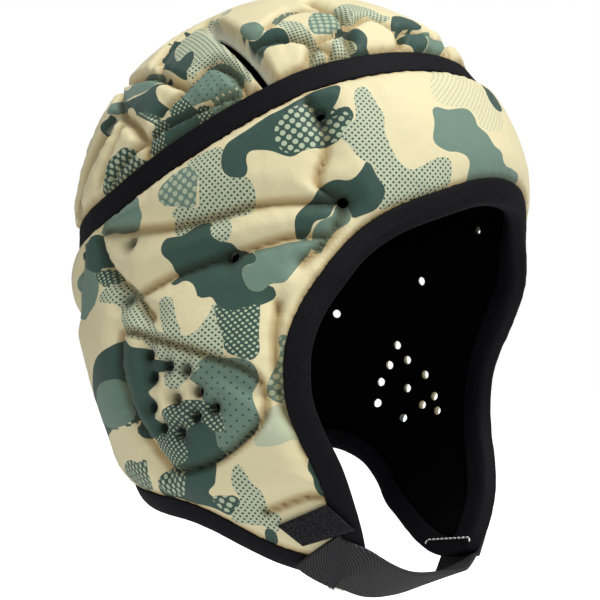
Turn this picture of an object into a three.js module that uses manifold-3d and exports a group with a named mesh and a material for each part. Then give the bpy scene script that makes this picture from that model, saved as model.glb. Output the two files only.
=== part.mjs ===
// A padded rugby scrum cap: a quilted foam crown and body, a tape ring between them,
// a bound edge round the face and neck, a cloth lining, and a chin strap with a fastening tab.
// Millimetres. The origin is the inner top of the crown, +Z is up, the face looks to -Y
// and the wearer's left is +X.
import * as THREE from 'three';
import Module from 'manifold-3d';
import { mergeVertices } from 'three/addons/utils/BufferGeometryUtils.js';

const wasm = await Module();
wasm.setup();

// The hollow that holds the head
const HEAD_WIDTH = 160;
const HEAD_LENGTH = 200;
const CROWN_RISE = 100;
const SIDE_DROP = 150;
const DOME_POWER = 2.1;

// Thicknesses of the foam, the cloth and the tapes
const PAD = 10;
const EDGE_PAD = 4;
const LINING = 0.9;
const TAPE = 1.1;
const STRAP = 1.8;
const TAB = 2.2;
const GAP = 0.35;
const TAPE_REST = 1;

// Widths of the tapes, and of the channels sewn into the foam
const EDGE_TAPE_WIDTH = 8.5;
const RING_TAPE_WIDTH = 11;
const STRAP_WIDTH = 25;
const CHANNEL_WIDTH = 9;
const CHANNEL_DEPTH = 4.5;
const CROWN_CHANNEL_DEPTH = 5.5;
const EAR_RISE = 3.5;

// Air holes, narrow at the lining and wide at the outside
const HOLE_DIAMETER = 4.4;
const VENT_MOUTH = 6;
const EAR_HOLE_MOUTH = 8.5;

// How finely the surfaces are divided
const OUTER_COLUMNS = 52;
const BODY_ROWS = 20;
const CROWN_ROWS = 10;
const INNER_COLUMNS = 26;
const INNER_BODY_ROWS = 11;
const INNER_CROWN_ROWS = 5;
const EDGE_STATIONS = 66;
const RING_STATIONS = 52;
const LINE_STEPS = 5;
const STRAP_STEPS = 26;
const HOLE_SIDES = 5;

const HALF_WIDTH = HEAD_WIDTH / 2;
const HALF_LENGTH = HEAD_LENGTH / 2;
const CAP_DROP = CROWN_RISE + SIDE_DROP;
const HALF_TURN = Math.PI;
const HEAD_CENTRE = new THREE.Vector3(0, 0, -CROWN_RISE);

// Sections of the hollow below its widest level: drop is a share of SIDE_DROP, side of
// HALF_WIDTH, front and back of HALF_LENGTH
const SECTIONS = [
  { drop: 0, side: 0.99, front: 0.99, back: 1.03 },
  { drop: 1 / 6, side: 1.03, front: 1.07, back: 1 },
  { drop: 2 / 6, side: 1.1, front: 1.11, back: 0.905 },
  { drop: 3 / 6, side: 1.095, front: 1.07, back: 0.785 },
  { drop: 4 / 6, side: 1.01, front: 1.0, back: 0.68 },
  { drop: 5 / 6, side: 0.855, front: 0.94, back: 0.545 },
  { drop: 1, side: 0.59, front: 0.89, back: 0.42 },
];

// Stations of lines on the cap. turn is a share of a half turn from the middle of the face,
// level is a share of CAP_DROP below the origin
const stations = (...pairs) => pairs.map(([turn, level]) => ({ turn, level }));

// The seam under the tape ring, from the forehead to the nape
const RING = stations([0, 0.136], [0.08, 0.136], [0.18, 0.144], [0.25, 0.156], [0.345, 0.184],
  [0.385, 0.204], [0.45, 0.24], [0.5, 0.27], [0.583, 0.318], [0.65, 0.35], [0.8, 0.385], [1, 0.395]);

// The free edge on each side, from the forehead down the face, round the flap to the nape
const EDGE_RIGHT = stations([0, 0.368], [0.07, 0.372], [0.151, 0.396], [0.223, 0.426], [0.272, 0.462],
  [0.308, 0.51], [0.331, 0.556], [0.343, 0.604], [0.344, 0.65], [0.34, 0.69], [0.328, 0.734],
  [0.306, 0.796], [0.293, 0.86], [0.289, 0.91], [0.295, 0.945], [0.32, 0.966], [0.352, 0.968],
  [0.382, 0.96], [0.42, 0.943], [0.453, 0.92], [0.49, 0.893], [0.545, 0.876], [0.63, 0.868],
  [0.74, 0.86], [0.87, 0.845], [1, 0.84]);
const EDGE_LEFT = stations([0, 0.368], [0.07, 0.378], [0.13, 0.41], [0.19, 0.46], [0.24, 0.508],
  [0.285, 0.555], [0.322, 0.605], [0.338, 0.652], [0.338, 0.7], [0.325, 0.757], [0.299, 0.812],
  [0.278, 0.86], [0.268, 0.91], [0.27, 0.95], [0.295, 0.974], [0.34, 0.976], [0.385, 0.962],
  [0.42, 0.943], [0.453, 0.92], [0.486, 0.893], [0.524, 0.85], [0.571, 0.812], [0.64, 0.785],
  [0.74, 0.79], [0.87, 0.82], [1, 0.84]);

// Channels sewn into the body on both sides
const BODY_CHANNELS = [
  stations([0.652, 0.393], [0.58, 0.4], [0.514, 0.402], [0.456, 0.393], [0.396, 0.378], [0.294, 0.379]),
  stations([0.569, 0.51], [0.51, 0.483], [0.419, 0.452], [0.356, 0.433], [0.309, 0.434]),
  stations([0.664, 0.402], [0.644, 0.446], [0.576, 0.513], [0.539, 0.551]),
  stations([0.331, 0.205], [0.313, 0.24], [0.31, 0.294], [0.321, 0.348], [0.291, 0.379],
    [0.309, 0.434], [0.348, 0.475]),
  stations([0.376, 0.539], [0.378, 0.593], [0.368, 0.693], [0.351, 0.733], [0.333, 0.779]),
  stations([0.404, 0.862], [0.341, 0.837], [0.323, 0.84]),
  stations([0.6, 0.573], [0.607, 0.621], [0.602, 0.665], [0.591, 0.708], [0.56, 0.755], [0.534, 0.792]),
  stations([0.72, 0.42], [0.745, 0.5], [0.76, 0.58], [0.765, 0.66], [0.75, 0.74], [0.72, 0.8]),
  stations([0.745, 0.52], [0.85, 0.535], [1, 0.54]),
  stations([0.765, 0.66], [0.87, 0.675], [1, 0.68]),
];

// The ear pad's outline and the ridge across its front, on both sides
const EAR_PAD = stations([0.595, 0.574], [0.606, 0.625], [0.597, 0.68], [0.57, 0.74], [0.529, 0.791],
  [0.49, 0.793], [0.438, 0.77], [0.386, 0.703], [0.395, 0.651], [0.456, 0.613], [0.53, 0.585]);
const EAR_RIDGE = stations([0.458, 0.635], [0.425, 0.65], [0.396, 0.675]);

// Channels between the pillows of the crown, on both sides, and on its middle line
const CROWN_CHANNELS = [
  stations([0.64, 0.3], [0.61, 0.27], [0.54, 0.225], [0.48, 0.2], [0.43, 0.183], [0.4, 0.19]),
  stations([0.56, 0.205], [0.52, 0.16], [0.49, 0.125], [0.45, 0.14], [0.42, 0.18]),
  stations([0.57, 0.25], [0.61, 0.21], [0.66, 0.18], [0.76, 0.11]),
  stations([0.57, 0.25], [0.57, 0.285], [0.58, 0.32]),
  stations([0.64, 0.21], [0.65, 0.25], [0.67, 0.3]),
  stations([0.76, 0.11], [0.7, 0.11], [0.61, 0.12], [0.56, 0.14], [0.52, 0.16]),
  stations([0.61, 0.12], [0.62, 0.07], [0.6, 0.02]),
  stations([0.39, 0.17], [0.36, 0.165], [0.33, 0.14], [0.32, 0.1], [0.36, 0.09], [0.43, 0.1]),
  stations([0.32, 0.1], [0.29, 0.12], [0.3, 0.17]),
  stations([0.4, 0.06], [0.36, 0.03], [0.25, 0.035], [0.25, 0.07], [0.32, 0.1]),
  stations([0.25, 0.07], [0.255, 0.12], [0.26, 0.165]),
  stations([0.25, 0.07], [0.18, 0.045], [0.14, 0.07], [0.16, 0.11], [0.19, 0.145]),
  stations([0.14, 0.07], [0.06, 0.065], [0, 0.075]),
  stations([0.76, 0.11], [0.88, 0.1], [1, 0.11]),
  stations([0.78, 0.11], [0.8, 0.2], [0.8, 0.3], [0.82, 0.4]),
  stations([0.8, 0.22], [0.9, 0.23], [1, 0.22]),
];
const CROWN_MIDDLE = [
  stations([0, 0.15], [0, 0.075], [0, 0.02]),
  stations([1, 0.41], [1, 0.22], [1, 0.11], [1, 0.02]),
];

// Open slits in the crown, on both sides: their lines, and the widest opening as a share of PAD
const CROWN_SLITS = [
  {
    line: stations([0.56, 0.03], [0.475, 0.07], [0.425, 0.115], [0.398, 0.152], [0.38, 0.176]),
    opening: 0.45,
  },
  { line: stations([0.69, 0.2], [0.73, 0.26], [0.77, 0.32]), opening: 0.7 },
];

// Single air holes on both sides, then the group over each ear
const VENTS = stations([0.595, 0.517], [0.594, 0.42], [0.313, 0.24], [0.29, 0.38], [0.435, 0.462]);
const EAR_HOLES_RIGHT = stations([0.542, 0.612], [0.508, 0.629], [0.483, 0.636], [0.536, 0.646],
  [0.498, 0.68], [0.468, 0.67], [0.544, 0.692], [0.448, 0.694], [0.473, 0.707], [0.529, 0.724],
  [0.496, 0.732]);
const EAR_HOLES_LEFT = stations([0.495, 0.586], [0.48, 0.617], [0.513, 0.626], [0.45, 0.648],
  [0.533, 0.66], [0.481, 0.674], [0.432, 0.691], [0.542, 0.703], [0.453, 0.708], [0.424, 0.72],
  [0.485, 0.734]);

// The fastening tab on the right flap, and the places where the foam is pressed under tab and strap
const TAB_CORNERS = stations([0.405, 0.883], [0.34, 0.85], [0.315, 0.887], [0.383, 0.912]);
const RIGHT_SEAT = stations([0.425, 0.86], [0.31, 0.84], [0.29, 0.96], [0.41, 0.95]);
const LEFT_SEAT = stations([0.39, 0.87], [0.29, 0.87], [0.275, 0.965], [0.38, 0.96]);
const SEAT_MARGIN = 7;

// The strap leaves the right flap below its tab and is sewn to the outside of the left flap
const STRAP_START = stations([0.351, 0.925], [0.344, 0.935], [0.33, 0.947], [0.312, 0.958]);
const STRAP_END = stations([0.322, 0.992], [0.322, 0.965], [0.325, 0.93], [0.328, 0.885]);

// Its middle line under the chin: side is a share of HALF_WIDTH, front of HALF_LENGTH, level of
// CAP_DROP and rise of STRAP_WIDTH, by which its front edge stands above its back edge
const STRAP_ROUTE = [
  { side: -0.61, front: 0.56, level: 0.98, rise: 0.3 },
  { side: -0.35, front: 0.55, level: 1.005, rise: 0.3 },
  { side: 0, front: 0.555, level: 1.02, rise: 0.32 },
  { side: 0.35, front: 0.54, level: 1.02, rise: 0.28 },
];

// Half sizes of the hollow at a height: a smooth curve through the sections
function hollowAt(height) {
  const place = THREE.MathUtils.clamp((-CROWN_RISE - height) / SIDE_DROP, 0, 1.2) * (SECTIONS.length - 1);
  const row = Math.min(Math.floor(place), SECTIONS.length - 2);
  const part = place - row;
  const smooth = (key) => {
    const at = (index) => SECTIONS[index][key];
    const slope = (index) => {
      if (index === 0) return 0;
      if (index === SECTIONS.length - 1) return at(index) - at(index - 1);
      return (at(index + 1) - at(index - 1)) / 2;
    };
    const rise = at(row + 1) - at(row);
    const ease = part * part * (3 - 2 * part);
    if (part > 1) return at(row + 1) + (part - 1) * slope(row + 1);
    const bend = slope(row) * part * (1 - part) ** 2 - slope(row + 1) * part * part * (1 - part);
    return at(row) + rise * ease + bend;
  };
  return {
    side: smooth('side') * HALF_WIDTH,
    front: smooth('front') * HALF_LENGTH,
    back: smooth('back') * HALF_LENGTH,
  };
}

// The point of the form that lies out from the hollow's wall, at a turn and a height
function formPoint(turn, height, out) {
  const half = hollowAt(height);
  const up = THREE.MathUtils.clamp((height + CROWN_RISE) / (CROWN_RISE + out), 0, 1);
  const round = (1 - up ** DOME_POWER) ** (1 / DOME_POWER);
  const length = Math.cos(turn) > 0 ? half.front : half.back;
  return new THREE.Vector3(
    (half.side + out) * round * Math.sin(turn),
    -(length + out) * round * Math.cos(turn),
    height,
  );
}

// Moves a point onto the form, towards the head's centre above the widest level and level below it
function settle(point, out) {
  const half = hollowAt(point.z);
  const length = point.y < 0 ? half.front : half.back;
  const around = Math.hypot(point.x / (half.side + out), point.y / (length + out));
  const up = Math.max((point.z + CROWN_RISE) / (CROWN_RISE + out), 0);
  const scale = (around ** DOME_POWER + up ** DOME_POWER) ** (-1 / DOME_POWER);
  const height = up > 0 ? (point.z + CROWN_RISE) * scale - CROWN_RISE : point.z;
  return new THREE.Vector3(point.x * scale, point.y * scale, height);
}

// A smooth line on the form through stations, on the right (-1) or the left (1)
function lineOnForm(rows, side, out, steps = LINE_STEPS) {
  const places = rows.map(({ turn, level }) => formPoint(side * turn * HALF_TURN, -level * CAP_DROP, out));
  const curve = new THREE.CatmullRomCurve3(places, false, 'centripetal');
  return curve.getPoints((rows.length - 1) * steps).map((place) => settle(place, out));
}

// Distance from a point to a line of points, and the share of the way along each piece
function distanceToLine(point, line) {
  let least = Infinity;
  const piece = new THREE.Line3();
  const nearest = new THREE.Vector3();
  for (let index = 1; index < line.length; index += 1) {
    piece.set(line[index - 1], line[index]);
    piece.closestPointToPoint(point, true, nearest);
    least = Math.min(least, nearest.distanceTo(point));
  }
  return least;
}

const SIDES = [-1, 1];
const onBothSides = (lists, out) => SIDES.flatMap((side) => lists.map((rows) => lineOnForm(rows, side, out)));

// The ring seam and the free edge as closed loops of points on the form
function closedLoop(rightRows, leftRows, out, count) {
  const right = rightRows.map(({ turn, level }) => formPoint(-turn * HALF_TURN, -level * CAP_DROP, out));
  const left = leftRows.map(({ turn, level }) => formPoint(turn * HALF_TURN, -level * CAP_DROP, out));
  const places = [...right, ...left.slice(1, -1).reverse()];
  const curve = new THREE.CatmullRomCurve3(places, true, 'centripetal');
  return curve.getSpacedPoints(count).slice(0, -1).map((place) => settle(place, out));
}

const ringLoop = closedLoop(RING, RING, EDGE_PAD, RING_STATIONS);
const edgeLoop = closedLoop(EDGE_RIGHT, EDGE_LEFT, EDGE_PAD / 2, EDGE_STATIONS);
const closed = (loop) => [...loop, loop[0]];
const ringLine = closed(ringLoop.map((place) => settle(place, PAD)));
const edgeLine = closed(edgeLoop);
const bodyLines = onBothSides(BODY_CHANNELS, PAD);
const crownLines = [
  ...onBothSides(CROWN_CHANNELS, PAD),
  ...CROWN_MIDDLE.map((rows) => lineOnForm(rows, 1, PAD)),
];
const earOutlines = SIDES.map((side) => closed(lineOnForm([...EAR_PAD, EAR_PAD[0]], side, PAD)));
const earRidges = SIDES.map((side) => lineOnForm(EAR_RIDGE, side, PAD));
const seatOutlines = [[RIGHT_SEAT, -1], [LEFT_SEAT, 1]].map(([corners, side]) =>
  closed(lineOnForm([...corners, corners[0]], side, PAD, 1)));

// Whether a point lies inside an outline seen from the side of the head
function insideFromSide(point, outline) {
  if (point.x * outline[0].x < 0) return false;
  let inside = false;
  for (let index = 1; index < outline.length; index += 1) {
    const a = outline[index - 1];
    const b = outline[index];
    if ((a.z > point.z) === (b.z > point.z)) continue;
    const crossing = a.y + ((point.z - a.z) / (b.z - a.z)) * (b.y - a.y);
    if (point.y < crossing) inside = !inside;
  }
  return inside;
}

const groove = (distance, width) => (distance < width ? (1 - (distance / width) ** 2) ** 2 : 0);
const depthOf = (lines, point, depth, width) =>
  Math.max(0, ...lines.map((line) => depth * groove(distanceToLine(point, line), width)));

// How far the foam is pressed down near an outline that something lies on
function pressedBy(outline, point) {
  if (insideFromSide(point, outline)) return 1;
  return 1 - THREE.MathUtils.smoothstep(distanceToLine(point, outline), SEAT_MARGIN / 2, SEAT_MARGIN * 2);
}

const OVER_EDGE = EDGE_PAD + TAPE_REST;
const TAPE_TOP = OVER_EDGE + TAPE;
const FLAT_EDGE = EDGE_TAPE_WIDTH + 1.2 * CHANNEL_WIDTH;
const FLAT_RING = RING_TAPE_WIDTH / 2 + GAP;
const rampFrom = (distance, flat) => THREE.MathUtils.smoothstep(distance, flat, flat + CHANNEL_WIDTH * 1.4);

// Thickness of the body's foam at a point of its outside
function bodyThickness(point) {
  let thick = PAD - depthOf(bodyLines, point, CHANNEL_DEPTH, CHANNEL_WIDTH);
  SIDES.forEach((side, index) => {
    const rim = distanceToLine(point, earOutlines[index]);
    if (insideFromSide(point, earOutlines[index])) {
      thick = PAD + EAR_RISE * THREE.MathUtils.smoothstep(rim, 0, CHANNEL_WIDTH * 2);
      thick -= (EAR_RISE / 2) * groove(distanceToLine(point, earRidges[index]), CHANNEL_WIDTH);
    }
    thick -= (CHANNEL_DEPTH / 2) * groove(rim, CHANNEL_WIDTH);
  });
  const pressed = Math.max(...seatOutlines.map((outline) => pressedBy(outline, point)));
  thick += (TAPE_TOP - thick) * pressed;
  const edge = rampFrom(distanceToLine(point, edgeLine), FLAT_EDGE);
  const ring = rampFrom(distanceToLine(point, ringLine), FLAT_RING);
  return EDGE_PAD + (thick - EDGE_PAD) * Math.min(edge, ring);
}

// Thickness of the crown's foam at a point of its outside
function crownThickness(point) {
  const thick = PAD - depthOf(crownLines, point, CROWN_CHANNEL_DEPTH, CHANNEL_WIDTH);
  const ring = rampFrom(distanceToLine(point, ringLine), FLAT_RING);
  return EDGE_PAD + (thick - EDGE_PAD) * ring;
}

// A mesh of triangles with its shared corners merged, and those without area left out
function closedMesh(points, faces) {
  const geometry = new THREE.BufferGeometry();
  const places = points.flatMap(({ x, y, z }) => [x, y, z]);
  geometry.setAttribute('position', new THREE.Float32BufferAttribute(places, 3));
  geometry.setIndex(faces.flat());
  const merged = mergeVertices(geometry, 1e-4);
  const index = merged.getIndex().array;
  const kept = [];
  for (let face = 0; face < index.length; face += 3) {
    const [a, b, c] = index.slice(face, face + 3);
    if (a !== b && b !== c && c !== a) kept.push(a, b, c);
  }
  merged.setIndex(kept);
  return facingOut(merged);
}

const quad = (a, b, c, d) => [a, b, c, a, c, d];

function toSolid(geometry) {
  const vertProperties = new Float32Array(geometry.getAttribute('position').array);
  const triVerts = new Uint32Array(geometry.getIndex().array);
  const solid = new wasm.Manifold(new wasm.Mesh({ numProp: 3, vertProperties, triVerts }));
  return solid;
}

function toGeometry(solid) {
  const mesh = solid.getMesh();
  const geometry = new THREE.BufferGeometry();
  geometry.setAttribute('position', new THREE.BufferAttribute(new Float32Array(mesh.vertProperties), 3));
  geometry.setIndex(new THREE.BufferAttribute(new Uint32Array(mesh.triVerts), 1));
  return geometry;
}

// Turns a mesh's faces over when its volume comes out negative
function facingOut(geometry) {
  const position = geometry.getAttribute('position');
  const index = geometry.getIndex();
  const corner = [new THREE.Vector3(), new THREE.Vector3(), new THREE.Vector3()];
  let volume = 0;
  for (let face = 0; face < index.count; face += 3) {
    corner.forEach((place, turn) => place.fromBufferAttribute(position, index.getX(face + turn)));
    volume += corner[0].dot(corner[1].cross(corner[2]));
  }
  if (volume > 0) return geometry;
  for (let face = 0; face < index.count; face += 3) {
    const first = index.getX(face);
    index.setX(face, index.getX(face + 2));
    index.setX(face + 2, first);
  }
  return geometry;
}

// Height of the ring seam at a turn, between its nearest two points
const ringTurns = ringLoop.map((place) => {
  const half = hollowAt(place.z);
  const length = place.y < 0 ? half.front : half.back;
  return Math.atan2(place.x / half.side, -place.y / length);
});
function ringHeight(turn) {
  const away = ringTurns.map((other) => Math.abs(Math.atan2(Math.sin(turn - other), Math.cos(turn - other))));
  const order = ringTurns.map((other, index) => index).sort((a, b) => away[a] - away[b]);
  const [near, next] = order;
  const share = away[near] / (away[near] + away[next]);
  return THREE.MathUtils.lerp(ringLoop[near].z, ringLoop[next].z, share);
}

// A point on the form by its way down from the apex: over the dome first, then down the sides
const DOME_WAY = (Math.PI / 2) * CROWN_RISE;
const BOTTOM_WAY = DOME_WAY + 1.05 * SIDE_DROP;
function pointDown(turn, way, out) {
  if (way > DOME_WAY) return formPoint(turn, -CROWN_RISE - (way - DOME_WAY), out);
  const angle = way / CROWN_RISE;
  const half = hollowAt(0);
  const length = Math.cos(turn) > 0 ? half.front : half.back;
  const aim = new THREE.Vector3(
    (half.side + out) * Math.sin(angle) * Math.sin(turn),
    -(length + out) * Math.sin(angle) * Math.cos(turn),
    (CROWN_RISE + out) * Math.cos(angle) - CROWN_RISE,
  );
  return settle(aim, out);
}

// The way down to the ring seam at a turn
function seamWay(turn) {
  const height = ringHeight(turn);
  if (height < -CROWN_RISE) return DOME_WAY - CROWN_RISE - height;
  const up = ((height + CROWN_RISE) / (CROWN_RISE + EDGE_PAD)) ** DOME_POWER;
  return Math.atan2((1 - up) ** (1 / DOME_POWER), up ** (1 / DOME_POWER)) * CROWN_RISE;
}

// Rows of the crown from its apex to the seam, and of the body from the seam to below the flaps,
// each with one row beside the tape
const FLAT_ROW = FLAT_RING + GAP;
const evenly = (from, to, count) =>
  Array.from({ length: count + 1 }, (_, index) => THREE.MathUtils.lerp(from, to, index / count));
const crownWays = (rows, gap) => (seam) => [...evenly(0, seam - FLAT_ROW, rows - 1), seam - gap];
const bodyWays = (rows, gap) => (seam) => [seam + gap, ...evenly(seam + FLAT_ROW, BOTTOM_WAY, rows - 1)];

// Rings of points round the head, one for each row, at a distance out from the hollow
function ringsOf(ways, columns, outAt) {
  const turns = evenly(-HALF_TURN, HALF_TURN, columns).slice(1);
  const lines = turns.map((turn) => ways(seamWay(turn)).map((way) =>
    pointDown(turn, way, outAt(pointDown(turn, way, PAD)))));
  return lines[0].map((_, row) => lines.map((line) => line[row]));
}

// Faces between neighbouring rings, each closed on itself
function skin(rings, size, offset = 0) {
  const faces = [];
  for (let row = 0; row < rings - 1; row += 1) {
    for (let column = 0; column < size; column += 1) {
      const next = (column + 1) % size;
      const above = offset + row * size;
      const below = above + size;
      faces.push(quad(above + column, above + next, below + next, below + column));
    }
  }
  return faces;
}

// A wall between an outer and an inner stack of rings, closed by a rim at both ends
function shell(outer, inner) {
  const wide = outer[0].length;
  const narrow = inner[0].length;
  const start = outer.length * wide;
  const faces = [
    ...skin(outer.length, wide),
    ...skin(inner.length, narrow, start).map((face) => face.reverse()),
  ];
  const rim = (outerRow, innerRow, turned) => {
    for (let column = 0; column < wide; column += 1) {
      const near = Math.floor((column * narrow) / wide);
      const after = Math.floor(((column + 1) * narrow) / wide) % narrow;
      const [a, b] = [column, (column + 1) % wide].map((place) => outerRow * wide + place);
      const [c, d] = [near, after].map((place) => start + innerRow * narrow + place);
      const strip = [a, c, b, ...(near === after ? [] : [b, c, d])];
      faces.push(turned ? strip.reverse() : strip);
    }
  };
  rim(0, 0, false);
  rim(outer.length - 1, inner.length - 1, true);
  return closedMesh([...outer, ...inner].flat(), faces);
}

// Rings joined one after another and back to the first
function loopSweep(rings) {
  return closedMesh([...rings, rings[0]].flat(), skin(rings.length + 1, rings[0].length));
}

// Rings of a bottom row and a top row, capped at both ends with strips that follow a bent surface
function stripSweep(rings) {
  const size = rings[0].length;
  const faces = skin(rings.length, size);
  const last = (rings.length - 1) * size;
  for (let corner = 0; corner < size / 2 - 1; corner += 1) {
    const across = size - 1 - corner;
    faces.push(quad(corner + 1, corner, across, across - 1));
    faces.push(quad(last + corner, last + corner + 1, last + across - 1, last + across));
  }
  return closedMesh(rings.flat(), faces);
}

// Everything beyond the free edge: the face opening and the space under the neck. Its wall has
// the same corners as the inside of the tape that is folded round that edge
const FACET_SAG = 2 * HALF_LENGTH * (1 - Math.cos(Math.PI / INNER_COLUMNS));
const UNDER_LINING = -(LINING + 2 * GAP + FACET_SAG);
function beyondEdge() {
  const downAndForward = new THREE.Vector3(0, -0.6 * CAP_DROP, -1.2 * CAP_DROP);
  const moved = (loop) => loop.map((place) => place.clone().add(downAndForward));
  const pointLoop = (place) => edgeLoop.map(() => place.clone());
  const [deep, under, over, far] = [-0.3 * HALF_WIDTH, UNDER_LINING, OVER_EDGE, 0.4 * HALF_WIDTH]
    .map((out) => edgeLoop.map((place) => settle(place, out)));
  const centre = pointLoop(HEAD_CENTRE);
  const rings = [moved(centre), moved(far), far, over, under, deep, centre];
  return toSolid(closedMesh(rings.flat(), skin(rings.length, edgeLoop.length)));
}

// Outward direction of the form at a point
function outwardAt(point) {
  const step = 0.5;
  const distance = (place) => {
    const base = settle(place, 0);
    return place.distanceTo(HEAD_CENTRE) - base.distanceTo(HEAD_CENTRE);
  };
  const slope = (axis) => {
    const ahead = point.clone().addScaledVector(axis, step);
    const behind = point.clone().addScaledVector(axis, -step);
    return distance(ahead) - distance(behind);
  };
  const [x, y, z] = [[1, 0, 0], [0, 1, 0], [0, 0, 1]].map((axis) => slope(new THREE.Vector3(...axis)));
  return new THREE.Vector3(x, y, z).normalize();
}

// At each station of a loop, the direction on the cap's surface that leads away from the pad
function framesOf(loop) {
  return loop.map((place, index) => {
    const before = loop[(index + loop.length - 1) % loop.length];
    const after = loop[(index + 1) % loop.length];
    const along = after.clone().sub(before).normalize();
    const out = outwardAt(place);
    const away = out.clone().cross(along).normalize();
    return { place, along, out, away };
  });
}

const edgeFrames = framesOf(edgeLoop);
const ringFrames = framesOf(ringLoop);

// A tape folded round the free edge, over the foam and the lining
function edgeBinding() {
  const profile = [
    [-EDGE_TAPE_WIDTH, OVER_EDGE],
    [GAP, OVER_EDGE],
    [GAP, UNDER_LINING],
    [-EDGE_TAPE_WIDTH, UNDER_LINING],
    [-EDGE_TAPE_WIDTH, UNDER_LINING - TAPE],
    [GAP + TAPE, UNDER_LINING - TAPE / 2],
    [GAP + TAPE, OVER_EDGE + TAPE / 2],
    [-EDGE_TAPE_WIDTH, OVER_EDGE + TAPE],
  ];
  return sweepOnForm(edgeFrames, profile);
}

// A closed loop of one profile along the form: across is away from the pad, out is off the hollow
function sweepOnForm(frames, profile) {
  const rings = frames.map(({ place, away }) =>
    profile.map(([across, out]) => settle(place.clone().addScaledVector(away, across), out)));
  return loopSweep(rings);
}

// The flat tape over the seam between crown and body
function crownTape() {
  const half = RING_TAPE_WIDTH / 2;
  const top = OVER_EDGE + TAPE;
  return sweepOnForm(ringFrames, [[-half, OVER_EDGE], [half, OVER_EDGE], [half, top], [-half, top]]);
}

// A tapered cutter through the wall at a station
function holeCutter({ turn, level }, side, mouth) {
  const place = formPoint(side * turn * HALF_TURN, -level * CAP_DROP, 0);
  const out = outwardAt(place);
  const depth = PAD + EAR_RISE + 2 * LINING + 4 * GAP;
  const taper = (mouth - HOLE_DIAMETER) / 2;
  const cone = new THREE.CylinderGeometry(HOLE_DIAMETER / 2 + taper, HOLE_DIAMETER / 2, depth, HOLE_SIDES);
  cone.applyQuaternion(new THREE.Quaternion().setFromUnitVectors(new THREE.Vector3(0, 1, 0), out));
  const middle = place.addScaledVector(out, depth / 2 - 2 * (LINING + GAP));
  cone.translate(middle.x, middle.y, middle.z);
  cone.deleteAttribute('normal');
  cone.deleteAttribute('uv');
  return toSolid(mergeVertices(cone, 1e-3));
}

// A lens-shaped cutter through the crown along a slit
function slitCutter({ line, opening }, side) {
  const places = lineOnForm(line, side, PAD, 1).map((place) => settle(place, 0));
  const rings = places.map((place, index) => {
    const before = places[Math.max(index - 1, 0)];
    const after = places[Math.min(index + 1, places.length - 1)];
    const out = outwardAt(place);
    const across = after.clone().sub(before).cross(out).normalize();
    const half = (opening * PAD * (0.12 + 0.88 * Math.sin((index / (places.length - 1)) * Math.PI))) / 2;
    return [[-half, -PAD], [half, -PAD], [half, 2 * PAD], [-half, 2 * PAD]].map(([aside, up]) =>
      place.clone().addScaledVector(across, aside).addScaledVector(out, up));
  });
  return toSolid(stripSweep(rings));
}

// The strap's route: each place with the outward direction of its face
function strapRoute() {
  const seat = TAPE_TOP + 2 * GAP + STRAP / 2;
  const onFlap = (rows, side) => rows.map(({ turn, level }) => {
    const place = formPoint(side * turn * HALF_TURN, -level * CAP_DROP, seat);
    return { place, facing: outwardAt(place) };
  });
  const free = STRAP_ROUTE.map(({ side, front, level, rise }) => ({
    place: new THREE.Vector3(side * HALF_WIDTH, -front * HALF_LENGTH, -level * CAP_DROP),
    facing: new THREE.Vector3(0, -rise, -1).normalize(),
  }));
  return [...onFlap(STRAP_START, -1), ...free, ...onFlap(STRAP_END, 1)];
}

// A flat band of webbing along the route
function strapBand() {
  const route = strapRoute();
  const middle = new THREE.CatmullRomCurve3(route.map(({ place }) => place), false, 'centripetal');
  const rings = evenly(0, route.length - 1, STRAP_STEPS).map((share) => {
    const row = Math.min(Math.floor(share), route.length - 2);
    const place = middle.getPoint(share / (route.length - 1));
    const along = middle.getTangent(share / (route.length - 1));
    const facing = route[row].facing.clone().lerp(route[row + 1].facing, share - row);
    facing.addScaledVector(along, -facing.dot(along)).normalize();
    const width = facing.clone().cross(along);
    return [[-0.5, -0.5], [0.5, -0.5], [0.5, 0.5], [-0.5, 0.5]].map(([aside, up]) =>
      place.clone().addScaledVector(width, aside * STRAP_WIDTH).addScaledVector(facing, up * STRAP));
  });
  return stripSweep(rings);
}

// The tab, a flat piece that lies on the flap over four corner stations
function fasteningTab() {
  const under = TAPE_TOP + GAP;
  const corners = TAB_CORNERS.map(({ turn, level }) =>
    formPoint(-turn * HALF_TURN, -level * CAP_DROP, under));
  const rings = evenly(0, 1, 4).map((down) => {
    const start = corners[0].clone().lerp(corners[3], down);
    const end = corners[1].clone().lerp(corners[2], down);
    const spots = evenly(0, 1, 5).map((across) => start.clone().lerp(end, across));
    const top = spots.map((spot) => settle(spot, under + TAB)).reverse();
    return [...spots.map((spot) => settle(spot, under)), ...top];
  });
  return stripSweep(rings);
}

const allCut = (solid, cutters) => cutters.reduce((left, cutter) => left.subtract(cutter), solid);
const holeCutters = [[EAR_HOLES_RIGHT, -1], [EAR_HOLES_LEFT, 1]].flatMap(([earHoles, side]) => [
  ...VENTS.map((hole) => holeCutter(hole, side, VENT_MOUTH)),
  ...earHoles.map((hole) => holeCutter(hole, side, EAR_HOLE_MOUTH)),
]);
const slitCutters = SIDES.flatMap((side) => CROWN_SLITS.map((slit) => slitCutter(slit, side)));

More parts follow.
